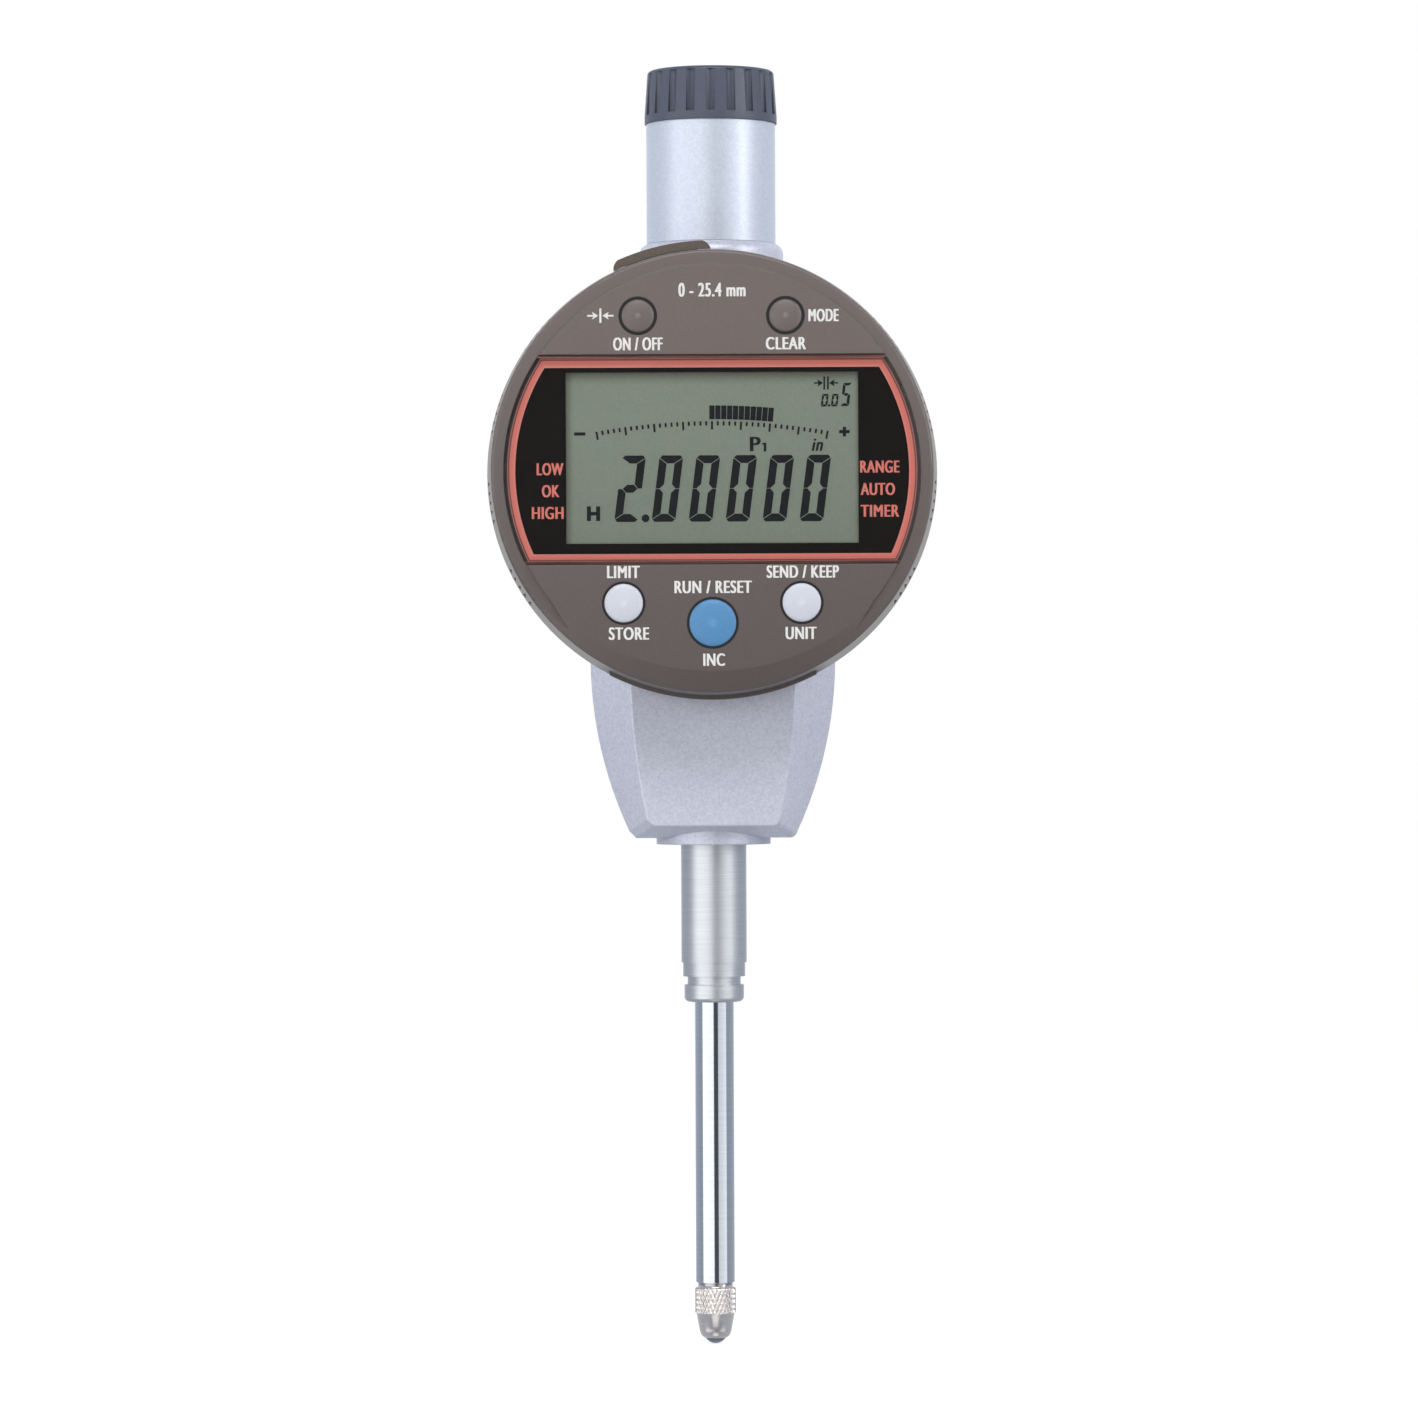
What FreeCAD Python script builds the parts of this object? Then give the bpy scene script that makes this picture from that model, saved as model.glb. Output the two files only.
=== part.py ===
import FreeCAD, Part
import math
import os
from types import SimpleNamespace

import Sketcher
from FreeCAD import Placement, Rotation, Vector

# Digital indicator with a turning display, a 25.4 mm spindle, an 8 mm stem and a lug back.
# Millimetres, +Z up along the spindle, the display looks towards -Y.
# The origin is on the spindle axis at the middle of the stem's clamp length.

doc = FreeCAD.newDocument("digital_indicator")
sheet = doc.addObject("Spreadsheet::Sheet", "Sizes")

SIZES = {
    # Fits and gaps
    "slide_gap": 0.02,        # round the spindle in its bushes
    "seat_gap": 0.02,         # round a piece that is pressed or laid in its seat
    "turn_gap": 0.05,         # round the display's hub in the case
    "clear_gap": 0.3,         # between pieces that pass or lie close to each other
    "edge_break": 0.3,        # small chamfers on turned pieces
    # Spindle and contact point
    "travel": 25.4,
    "spindle_radius": 2.4,
    "spindle_reach": 34.6,    # plain spindle that shows below the stem at rest
    "spindle_tail": 72.0,     # from the middle of the stem up to the spindle's top
    "top_tap_radius": 1.0,
    "top_tap_depth": 6.0,
    "thread_radius": 1.25,
    "thread_length": 5.0,
    "contact_length": 6.55,
    "knurl_radius": 2.5,
    "knurl_length": 3.5,
    "cone_radius": 2.38,
    "cone_end_radius": 1.97,
    "cone_length": 2.2,
    "nose_radius": 1.45,
    "nose_round": 1.0,
    "neck_radius": 2.15,
    "neck_length": 0.3,
    "ball_radius": 1.5,
    "ball_proud": 0.75,
    # Stem
    "stem_radius": 4.0,
    "stem_length": 14.5,
    "stem_band_radius": 3.8,
    "stem_band_length": 1.7,
    "stem_groove_radius": 3.25,
    "stem_groove_length": 1.04,
    "stem_collar_radius": 3.64,
    "stem_collar_length": 2.08,
    "stem_collar_round": 0.6,
    "stem_bore_radius": 2.65,
    "stem_seat_radius": 4.3,  # pressed into the case
    "stem_flange_radius": 5.3,
    "stem_flange_height": 2.0,
    "stem_head_height": 3.0,
    "stem_head_radius": 3.7,
    "bush_radius": 2.85,
    "bush_length": 6.2,
    "wiper_height": 1.2,
    # Case
    "boss_radius": 7.0,
    "boss_height": 0.82,
    "floor_height": 5.9,
    "dial_rise": 44.0,        # from the case's bottom to the display's axis
    "case_front": 8.85,       # from the spindle axis to the case's front face
    "case_back": 8.85,        # from the spindle axis to the case's back face
    "front_wall": 1.8,
    "drum_margin": 1.25,      # between the guide rail's lower end and the drum's wall
    "drum_wall": 2.0,
    "body_half_width": 14.9,
    "body_rise": 21.9,        # from the case's bottom to its widest place
    "body_sweep": 50.0,       # radius of the sides
    "body_corner": 0.83,
    "body_corner_round": 1.04,
    "body_run_in": 6.6,       # the lower body's sides go on upwards into the drum
    "facet_depth": 4.5,
    "plateau_half_width": 10.05,
    "plateau_sweep": 97.0,
    "crease_rise": 1.53,
    "throat_half_width": 8.4,
    "throat_back": 6.6,
    "collar_radius": 8.83,
    "collar_rise": 28.57,     # from the display's axis to the top of the case's collar
    "collar_shoulder": 1.3,
    "post_radius": 2.4,
    "post_inset": 2.2,        # from the drum's wall to the middle of the back screws
    "screw_radius": 0.8,
    "screw_head_radius": 1.6,
    "screw_head_height": 1.0,
    # Lug back
    "back_thickness": 2.0,
    "lug_thickness": 7.0,
    "lug_hole_radius": 3.25,
    "lug_hole_offset": 7.5,   # from the back cover to the middle of the lug's hole
    "lug_end_radius": 6.2,
    "lug_foot": 8.5,
    # Top tube and cap
    "tube_radius": 7.9,
    "tube_length": 14.73,
    "tube_bore": 6.4,
    "spigot_radius": 7.1,
    "spigot_length": 4.0,
    "cap_height": 6.5,
    "cap_radius": 8.1,
    "cap_top_radius": 7.75,
    "cap_rim": 1.0,
    "cap_round": 0.5,
    "cap_roof": 1.6,
    "cap_skirt": 4.9,
    "cap_bore": 4.9,
    "flutes": 20,
    "flute_width": 1.06,
    "flute_depth": 0.3,
    "flute_stop": 0.4,
    "seal_section": 0.3,
    # Measuring carriage and its guides
    "bumper_height": 1.7,
    "bumper_radius": 3.5,
    "carrier_height": 19.0,
    "carrier_left": 7.0,
    "carrier_right": 3.7,
    "carrier_front": 3.6,
    "carrier_back": 3.2,
    "arm_reach": 7.6,
    "arm_height": 4.0,
    "scale_width": 10.0,
    "scale_length": 28.0,
    "scale_thickness": 1.0,
    "guide_pin_radius": 1.1,
    "guide_pin_drop": 4.5,
    "rail_left": 12.2,
    "rail_right": 9.0,
    "rail_back": 3.0,
    "rail_web": 1.0,
    "rail_margin": 2.0,
    "spring_radius": 1.5,
    "spring_wire": 0.22,
    "spring_pitch": 1.5,
    "spring_offset": 5.7,
    "spring_post_radius": 0.6,
    "spring_post_rise": 1.4,
    "bracket_drop": 9.6,      # from the top of the drum's cavity down to the bracket's lower side
    "bracket_height": 5.0,
    "bracket_half_width": 12.2,
    "bracket_screw_place": 9.8,
    "pillar_radius": 1.9,
    "board_thickness": 1.0,
    "board_half_width": 19.0,
    "board_low": -12.0,
    "board_high": 11.8,
    "board_screw_inset": 2.0,
    "ribbon_width": 3.4,
    "ribbon_thickness": 0.3,
    "ribbon_place": 2.0,
    "ribbon_rise": 0.7,
    "ribbon_turn": 21.0,
    # Display casing, depths counted from the spindle axis towards the reader
    "display_gap": 0.3,
    "display_depth": 12.8,
    "cover_thickness": 1.5,
    "cover_inset": 0.8,       # the rear cover's edge inside the bezel's
    "cover_lip": 0.75,
    "seal_thickness": 0.4,
    "spigot_wall": 1.2,
    "cover_spigot": 3.4,
    "bezel_radius": 27.1,     # the display's other radii and places are counted inwards from here
    "bezel_taper": 0.75,
    "bezel_widest": 0.8,
    "bezel_wall": 1.85,
    "bezel_front_wall": 2.9,
    "bezel_round": 0.42,
    "rim_inset": 0.4,
    "rim_step": 0.3,
    "rim_width": 1.2,
    "face_thickness": 1.6,
    "tongue_foot": 16.0,
    "crescent_margin": 0.4,   # the crescent's radius beyond the bezel's
    "crescent_rise": 3.7,
    "crescent_fall": 1.1,
    "crescent_run": 3.2,
    "crescent_arc": 96.0,
    "window_inset": 2.3,
    "key_to_window": 4.57,    # from a row of keys to the window's edge
    "grip_teeth": 5,
    "grip_tooth_angle": 2.4,
    "grip_depth": 0.5,
    "grip_half_angle": 1.8,
    "grip_first_angle": 38.5,
    "grip_patch_angle": 23.0,
    "grip_patches": 4,
    "grip_length": 6.8,
    "boss_post_radius": 1.9,
    "boss_high_gap": 0.48,    # between the panel's holder and the posts above it
    "boss_low_gap": 1.22,
    # Hub that the display turns on
    "hub_radius": 7.0,
    "hub_flange_radius": 9.0,
    "hub_flange": 1.0,
    "hub_bore": 4.5,
    "hub_end": 5.4,
    "ring_groove": 0.5,
    "ring_thickness": 0.5,
    "ring_reach": 1.5,
    "washer_thickness": 0.35,
    "washer_reach": 1.6,
    "washer_wave": 0.15,
    "stop_circle": 11.0,
    "stop_pin_radius": 0.9,
    "stop_slot_depth": 1.1,
    "turn_range": 165.0,      # to each side
    "stop_margin": 3.0,       # slot beyond the pin's last place
    "ring_arc": 310.0,
    # Window, mask and liquid crystal panel
    "lens_sink": 0.2,
    "lens_thickness": 1.2,
    "lens_bevel": 0.35,
    "film_thickness": 0.12,
    "band_inset": 0.3,
    "band_width": 1.05,       # at both sides
    "band_top_width": 1.2,
    "band_low_width": 1.0,
    "reading_margin": 1.2,    # panel hidden behind the mask
    "panel_top_inset": 0.86,  # the panel's edges inside the window's
    "panel_low_inset": 1.33,
    "glass_thickness": 1.5,
    "holder_wall": 1.1,
    "holder_corner": 2.0,
    "strip_depth": 1.6,
    "strip_inset": 2.1,
    "main_board_inset": 0.6,  # inside the bezel's front wall
    "main_board_rear": 5.35,  # from the display's face back to the board's rear side
    # Keys
    "key_travel": 0.6,
    "key_proud": 0.3,
    "key_dome": 0.25,
    "key_flange": 0.5,
    "key_flange_height": 0.6,
    "key_stem_radius": 1.2,
    "dark_key_radius": 1.95,
    "dark_key_gap": 0.26,
    "dark_key_across": 8.77,
    "dark_key_inset": 3.79,   # from the bezel's front wall inwards to the key's middle
    "light_key_radius": 2.3,
    "light_key_across": 10.58,
    "light_key_inset": 5.27,
    "zero_key_radius": 2.8,
    "zero_key_inset": 6.13,
    "key_gap": 0.16,
    "pad_thickness": 0.4,
    "pad_margin": 1.2,
    # Battery
    "tray_half_width": 12.4,
    "tray_proud": 0.1,
    "tray_rear": 3.7,         # from the display's rear face forward to the tray
    "tray_thickness": 3.5,
    "tray_floor": 0.25,
    "tray_frame": 11.6,
    "tray_lip": 0.7,          # above the cell
    "cell_radius": 10.0,
    "cell_height": 3.2,
    "cell_inset": 2.6,        # from the tray's outer edge to the cell's
    "nail_slot_width": 8.0,
    "nail_slot_depth": 0.6,
    "leaf_half_width": 1.6,
    # Data port
    "port_angle": 13.0,
    "port_half_angle": 13.0,
    "port_round_angle": 2.2,
    "port_cover_thickness": 0.75,
    "port_cover_rear": 2.6,
    "port_cover_height": 4.6,
    "port_half_width": 4.5,
    "port_height": 2.6,
    "port_plug_length": 2.2,
    "socket_depth": 3.4,
    "socket_wall": 0.8,
}

for row, (name, number) in enumerate(SIZES.items(), start=1):
    sheet.set(f"A{row}", name.replace("_", " "))
    sheet.set(f"B{row}", str(number))
    sheet.setAlias(f"B{row}", name)
doc.recompute()


class Amount:
    """A number together with the formula that works it out from the sheet."""

    def __init__(self, number, formula):
        self.number = float(number)
        self.formula = formula

    def __add__(self, other):
        other = amount(other)
        return Amount(self.number + other.number, f"({self.formula} + {other.formula})")

    def __sub__(self, other):
        other = amount(other)
        return Amount(self.number - other.number, f"({self.formula} - {other.formula})")

    def __mul__(self, other):
        other = amount(other)
        return Amount(self.number * other.number, f"({self.formula} * {other.formula})")

    def __truediv__(self, other):
        other = amount(other)
        return Amount(self.number / other.number, f"({self.formula} / {other.formula})")

    def __radd__(self, other):
        return amount(other) + self

    def __rsub__(self, other):
        return amount(other) - self

    def __rmul__(self, other):
        return amount(other) * self

    def __neg__(self):
        return Amount(-self.number, f"(0 - {self.formula})")


def amount(value):
    """A plain number or an Amount, as an Amount."""
    return value if isinstance(value, Amount) else Amount(value, repr(float(value)))


def root(value):
    return Amount(math.sqrt(value.number), f"sqrt({value.formula})")


def sine(angle):
    angle = amount(angle)
    return Amount(math.sin(math.radians(angle.number)), f"sin({angle.formula})")


def cosine(angle):
    angle = amount(angle)
    return Amount(math.cos(math.radians(angle.number)), f"cos({angle.formula})")


def leg(long_side, other_leg):
    """The third side of a right triangle."""
    return root(long_side * long_side - other_leg * other_leg)


size = SimpleNamespace(**{name: Amount(sheet.get(name), f"Sizes.{name}") for name in SIZES})

# Levels along the spindle axis

STEM_TOP = size.stem_length / 2
STEM_LOW = -STEM_TOP
STEM_GROOVE = STEM_LOW - size.stem_band_length
STEM_COLLAR = STEM_GROOVE - size.stem_groove_length
STEM_END = STEM_COLLAR - size.stem_collar_length
SPINDLE_END = STEM_END - size.spindle_reach
CONTACT_END = SPINDLE_END - size.contact_length
BALL_MIDDLE = CONTACT_END - size.ball_proud + size.ball_radius
CASE_BOTTOM = STEM_TOP + size.boss_height
CASE_FLOOR = CASE_BOTTOM + size.floor_height
STEM_FLANGE_TOP = CASE_FLOOR + size.stem_flange_height
STEM_HEAD = STEM_FLANGE_TOP + size.stem_head_height
CARRIER_LOW = STEM_HEAD + size.bumper_height + size.clear_gap
CARRIER_TOP = CARRIER_LOW + size.carrier_height
DIAL = CASE_BOTTOM + size.dial_rise
COLLAR_TOP = DIAL + size.collar_rise
TUBE_TOP = COLLAR_TOP + size.tube_length
CAP_TOP = TUBE_TOP + size.cap_height
GUIDE_PIN = CARRIER_TOP - size.guide_pin_drop
RAIL_LOW = GUIDE_PIN - size.rail_margin
DRUM_INSIDE = size.drum_margin + root(
    size.rail_left * size.rail_left + (DIAL - RAIL_LOW) * (DIAL - RAIL_LOW))
DRUM_OUTSIDE = DRUM_INSIDE + size.drum_wall
BRACKET_LOW = DIAL + DRUM_INSIDE - size.bracket_drop
BRACKET_TOP = BRACKET_LOW + size.bracket_height
SPRING_POST = STEM_FLANGE_TOP + size.spring_post_rise
SPRING_LOW = SPRING_POST + size.spring_post_radius + size.clear_gap
SPRING_TOP = CARRIER_TOP - size.arm_height - size.clear_gap

# Depths from the spindle axis towards the reader, for the case's front and the display

WALL_INSIDE = size.case_front - size.front_wall
WASHER_FRONT = WALL_INSIDE - size.seat_gap
WASHER_BACK = WASHER_FRONT - size.washer_thickness
HUB_GROOVE = WASHER_BACK - size.washer_wave - size.ring_thickness
REAR = size.case_front + size.display_gap
COVER_INSIDE = REAR + size.cover_thickness
FACE = REAR + size.display_depth
RIM = FACE - size.rim_step
FACE_BACK = FACE - size.face_thickness
LENS_FRONT = FACE - size.lens_sink
LENS_BACK = LENS_FRONT - size.lens_thickness
FILM_FRONT = LENS_BACK - size.seat_gap
FILM_BACK = FILM_FRONT - size.film_thickness
GLASS_FRONT = FACE_BACK - size.seat_gap
GLASS_BACK = GLASS_FRONT - size.glass_thickness
BOARD_REAR = FACE - size.main_board_rear
BOARD_FRONT = BOARD_REAR + size.board_thickness
TRAY_REAR = REAR + size.tray_rear
TRAY_FRONT = TRAY_REAR + size.tray_thickness
KEY_TOP = FACE + size.key_proud
KEY_FLANGE_TOP = FACE_BACK - size.clear_gap / 3
KEY_FLANGE_LOW = KEY_FLANGE_TOP - size.key_flange_height
PAD_TOP = BOARD_FRONT + size.seat_gap + size.pad_thickness
KEY_END = PAD_TOP + size.key_travel + size.turn_gap
BEZEL_END = REAR + size.cover_thickness + size.cover_lip
PORT_LOW = REAR + size.port_cover_rear
PORT_MIDDLE = PORT_LOW + size.port_cover_height / 2
SOCKET_LOW = PORT_MIDDLE - size.port_height / 2

# Radii in the display, and places counted from its middle

BEZEL_INSIDE = size.bezel_radius - size.bezel_wall
BEZEL_FRONT = size.bezel_radius - size.bezel_taper
FRONT_INSIDE = size.bezel_radius - size.bezel_front_wall
RIM_OUTSIDE = BEZEL_FRONT - size.rim_inset
RIM_INSIDE = RIM_OUTSIDE - size.rim_width
COVER_EDGE = size.bezel_radius - size.cover_inset
CRESCENT = size.bezel_radius + size.crescent_margin
DARK_KEY_UP = leg(FRONT_INSIDE - size.dark_key_inset, size.dark_key_across)
LIGHT_KEY_DOWN = leg(FRONT_INSIDE - size.light_key_inset, size.light_key_across)
ZERO_KEY_DOWN = FRONT_INSIDE - size.zero_key_inset
WINDOW = size.bezel_radius - size.window_inset
WINDOW_TOP = DARK_KEY_UP - size.key_to_window
WINDOW_LOW = LIGHT_KEY_DOWN - size.key_to_window
BAND = WINDOW - size.band_inset
BAND_TOP = WINDOW_TOP - size.band_inset
BAND_LOW = WINDOW_LOW - size.band_inset
BOARD_EDGE = FRONT_INSIDE - size.main_board_inset
GLASS_TOP = WINDOW_TOP - size.panel_top_inset
GLASS_LOW = WINDOW_LOW - size.panel_low_inset
HOLDER_CORNER_UP = GLASS_TOP + size.holder_wall - size.holder_corner
HOLDER_SIDE = size.holder_corner + leg(
    BOARD_EDGE - size.clear_gap / 2 - size.holder_corner, HOLDER_CORNER_UP)
GLASS_SIDE = HOLDER_SIDE - size.holder_wall
BOSS_POST = BEZEL_INSIDE - size.turn_gap - size.boss_post_radius
BOSS_UP = GLASS_TOP + size.holder_wall + size.boss_high_gap + size.boss_post_radius
BOSS_DOWN = GLASS_LOW + size.holder_wall + size.boss_low_gap + size.boss_post_radius
TRAY_EDGE = size.bezel_radius + size.tray_proud
CELL_DROP = TRAY_EDGE - size.cell_inset - size.cell_radius
PORT_OUTSIDE = size.bezel_radius + size.port_cover_thickness

nodes = {}


def keep(thing, label):
    """Names a finished piece and puts it on the list of pieces."""
    thing.Label = label
    nodes[label] = thing
    return thing


def bind(thing, place, value):
    thing.setExpression(place, amount(value).formula)


def body_of(label):
    body = doc.addObject("PartDesign::Body", label)
    return keep(body, label)


def stand_up(body, across=0.0, up=0.0, turned=0.0):
    """Puts a body that was drawn face up on the display's axis, so that it looks towards the reader."""
    tip_over = Rotation(Vector(1, 0, 0), 90)
    body.Placement = Placement(Vector(0, 0, 0), tip_over.multiply(Rotation(Vector(0, 0, 1), turned)))
    bind(body, "Placement.Base.x", across)
    bind(body, "Placement.Base.z", DIAL + up)


def origin_piece(body, role):
    return next(piece for piece in body.Origin.OriginFeatures if piece.Role == role)


def sketch_on(body, role, offset=0.0):
    """An empty sketch on one of the body's own planes, moved along that plane's normal."""
    sketch = body.newObject("Sketcher::SketchObject", body.Name + "_sketch")
    sketch.AttachmentSupport = [(origin_piece(body, role), "")]
    sketch.MapMode = "FlatFace"
    bind(sketch, "AttachmentOffset.Base.z", offset)
    return sketch


def arc_between(start, end, radius, turn):
    """The shorter arc from start to end; turn is +1 where it bends to the left on its way."""
    way = end - start
    sideways = Vector(-way.y, way.x, 0).normalize()
    rise = math.sqrt(max(radius ** 2 - (way.Length / 2) ** 2, 0))
    middle = (start + end) * 0.5 + sideways * (rise * turn)
    first, last = (start, end) if turn > 0 else (end, start)
    angles = [math.atan2(point.y - middle.y, point.x - middle.x) for point in (first, last)]
    return Part.ArcOfCircle(Part.Circle(middle, Vector(0, 0, 1), radius), *angles)


def draw(sketch, path):
    """Draws a closed outline. A corner is (across, up), or (across, up, radius, turn) after an arc."""
    corners = [(amount(corner[0]), amount(corner[1])) for corner in path]
    points = [Vector(across.number, up.number, 0) for across, up in corners]
    count = len(path)
    first = sketch.GeometryCount
    edges = []
    ends = []
    rules = []
    bound = []
    for i in range(count):
        bend = path[(i + 1) % count][2:]
        start, end = points[i], points[(i + 1) % count]
        if bend:
            edges.append(arc_between(start, end, amount(bend[0]).number, bend[1]))
            ends.append((1, 2) if bend[1] > 0 else (2, 1))
            bound.append((Sketcher.Constraint("Radius", first + i, amount(bend[0]).number), bend[0]))
        else:
            edges.append(Part.LineSegment(start, end))
            ends.append((1, 2))
    for i in range(count):
        following = (i + 1) % count
        rules.append(Sketcher.Constraint(
            "Coincident", first + i, ends[i][1], first + following, ends[following][0]))
        for kind, value, axis in (("DistanceX", corners[i][0], -2), ("DistanceY", corners[i][1], -1)):
            if abs(value.number) < 1e-9:
                rules.append(Sketcher.Constraint("PointOnObject", first + i, ends[i][0], axis))
            else:
                rule = Sketcher.Constraint(kind, -1, 1, first + i, ends[i][0], value.number)
                bound.append((rule, value))
    sketch.addGeometry(edges, False)
    sketch.addConstraint(rules)
    tie(sketch, bound)


def tie(sketch, bound):
    """Adds constraints that follow the sheet."""
    indexes = sketch.addConstraint([rule for rule, value in bound])
    for index, (rule, value) in zip(indexes, bound):
        bind(sketch, f"Constraints[{index}]", value)


def circle(sketch, across, up, radius):
    across, up, radius = amount(across), amount(up), amount(radius)
    index = sketch.GeometryCount
    middle = Vector(across.number, up.number, 0)
    sketch.addGeometry(Part.Circle(middle, Vector(0, 0, 1), radius.number), False)
    bound = [(Sketcher.Constraint("Radius", index, radius.number), radius)]
    for kind, value, axis in (("DistanceX", across, -2), ("DistanceY", up, -1)):
        if abs(value.number) < 1e-9:
            sketch.addConstraint(Sketcher.Constraint("PointOnObject", index, 3, axis))
        else:
            bound.append((Sketcher.Constraint(kind, -1, 1, index, 3, value.number), value))
    tie(sketch, bound)


def feature(body, kind, sketch, length=None, reverse=False):
    made = body.newObject("PartDesign::" + kind, sketch.Name + "_" + kind.lower())
    made.Profile = sketch
    if length is not None:
        bind(made, "Length", length)
    made.Reversed = reverse
    return made


def pad(body, sketch, length, reverse=False):
    return feature(body, "Pad", sketch, length, reverse)


def pocket(body, sketch, length, reverse=False):
    return feature(body, "Pocket", sketch, length, reverse)


def spin(body, sketch, kind="Revolution", axis="V_Axis", angle=360.0, middle=False):
    made = feature(body, kind, sketch)
    made.ReferenceAxis = (sketch, [axis])
    bind(made, "Angle", angle)
    made.Midplane = middle
    return made


def polar(body, made, count, angle=360.0):
    pattern = body.newObject("PartDesign::PolarPattern", made.Name + "_pattern")
    pattern.Originals = [made]
    pattern.Axis = (origin_piece(body, "Z_Axis"), [""])
    bind(pattern, "Angle", angle)
    bind(pattern, "Occurrences", count)
    body.Tip = pattern
    return pattern


def turned(label, path):
    """A piece turned about its own Z axis from an outline of (radius, height) corners."""
    body = body_of(label)
    sketch = sketch_on(body, "XZ_Plane")
    draw(sketch, path)
    spin(body, sketch)
    return body


def ring_path(inside, outside, low, high):
    return [(inside, low), (outside, low), (outside, high), (inside, high)]


def block(name, left, right, front, back, low, high):
    """A box between six planes; front and back are places along Y."""
    box = doc.addObject("Part::Box", name)
    for side, start, end in (("Length", left, right), ("Width", front, back), ("Height", low, high)):
        bind(box, side, amount(end) - amount(start))
    for axis, start in (("x", left), ("y", front), ("z", low)):
        bind(box, "Placement.Base." + axis, start)
    return box


TURN_TO = {
    "X": Rotation(Vector(0, 1, 0), 90),
    "Y": Rotation(Vector(1, 0, 0), -90),
    "Z": Rotation(),
}


def rod(name, axis, place, start, end, radius):
    """A cylinder along an axis, from start to end; place is its other two coordinates in order."""
    cylinder = doc.addObject("Part::Cylinder", name)
    cylinder.Placement = Placement(Vector(0, 0, 0), TURN_TO[axis])
    bind(cylinder, "Radius", radius)
    bind(cylinder, "Height", amount(end) - amount(start))
    coordinates = dict(zip([other for other in "XYZ" if other != axis], place))
    coordinates[axis] = start
    for letter, value in coordinates.items():
        bind(cylinder, "Placement.Base." + letter.lower(), value)
    return cylinder


def fused(name, pieces):
    whole = doc.addObject("Part::MultiFuse", name)
    whole.Shapes = pieces
    return whole


def cut(name, base, tools):
    made = doc.addObject("Part::Cut", name)
    made.Base = base
    made.Tool = tools[0] if len(tools) == 1 else fused(name + "_tools", tools)
    return made


def screws(label, places, seat, heads_at_back, length):
    """Small screws along Y with their heads on one plane. Places are (across, level) pairs."""
    side = 1 if heads_at_back else -1
    pieces = []
    for place in places:
        tail, top = seat - side * length, seat + side * size.screw_head_height
        for radius, one, other in ((size.screw_head_radius, seat, top), (size.screw_radius, tail, seat)):
            start, end = (one, other) if heads_at_back else (other, one)
            pieces.append(rod(label + "_rod", "Y", place, start, end, radius))
    return keep(fused(label, pieces), label)


# Contact point and spindle


def make_contact_ball():
    """The carbide ball that touches the work."""
    ball = doc.addObject("Part::Sphere", "contact_ball")
    bind(ball, "Radius", size.ball_radius)
    bind(ball, "Placement.Base.z", BALL_MIDDLE)
    keep(ball, "contact_ball")


def make_contact_point():
    """The steel contact: knurled band, cone and nose, with the thread that screws into the spindle."""
    body = turned("contact_point", [
        (0, CONTACT_END),
        (size.nose_radius, CONTACT_END),
        (size.cone_end_radius, SPINDLE_END - size.knurl_length - size.cone_length, size.nose_round, 1),
        (size.cone_radius, SPINDLE_END - size.knurl_length),
        (size.knurl_radius, SPINDLE_END - size.knurl_length),
        (size.knurl_radius, SPINDLE_END - size.neck_length * 2),
        (size.knurl_radius - size.edge_break, SPINDLE_END - size.neck_length),
        (size.neck_radius, SPINDLE_END - size.neck_length),
        (size.neck_radius, SPINDLE_END),
        (size.thread_radius, SPINDLE_END),
        (size.thread_radius, SPINDLE_END + size.thread_length),
        (0, SPINDLE_END + size.thread_length),
    ])
    # The cup that the ball is set in
    cup = sketch_on(body, "XZ_Plane")
    cup_radius = size.ball_radius + size.seat_gap / 2
    cup_mouth = leg(cup_radius, BALL_MIDDLE - CONTACT_END)
    draw(cup, [
        (0, CONTACT_END),
        (cup_mouth, CONTACT_END),
        (cup_radius, BALL_MIDDLE, cup_radius, 1),
        (0, BALL_MIDDLE + cup_radius, cup_radius, 1),
    ])
    spin(body, cup, "Groove")


def make_spindle():
    """The ground steel spindle, tapped at both ends."""
    broken = size.spindle_radius - size.edge_break
    tap = size.thread_radius + size.seat_gap
    top = size.spindle_tail
    turned("spindle", [
        (tap, SPINDLE_END),
        (broken, SPINDLE_END),
        (size.spindle_radius, SPINDLE_END + size.edge_break),
        (size.spindle_radius, top - size.edge_break),
        (broken, top),
        (size.top_tap_radius, top),
        (size.top_tap_radius, top - size.top_tap_depth),
        (0, top - size.top_tap_depth),
        (0, SPINDLE_END + size.thread_length + size.clear_gap),
        (tap, SPINDLE_END + size.thread_length + size.clear_gap),
    ])


# Stem with its bushes and wiper


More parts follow.
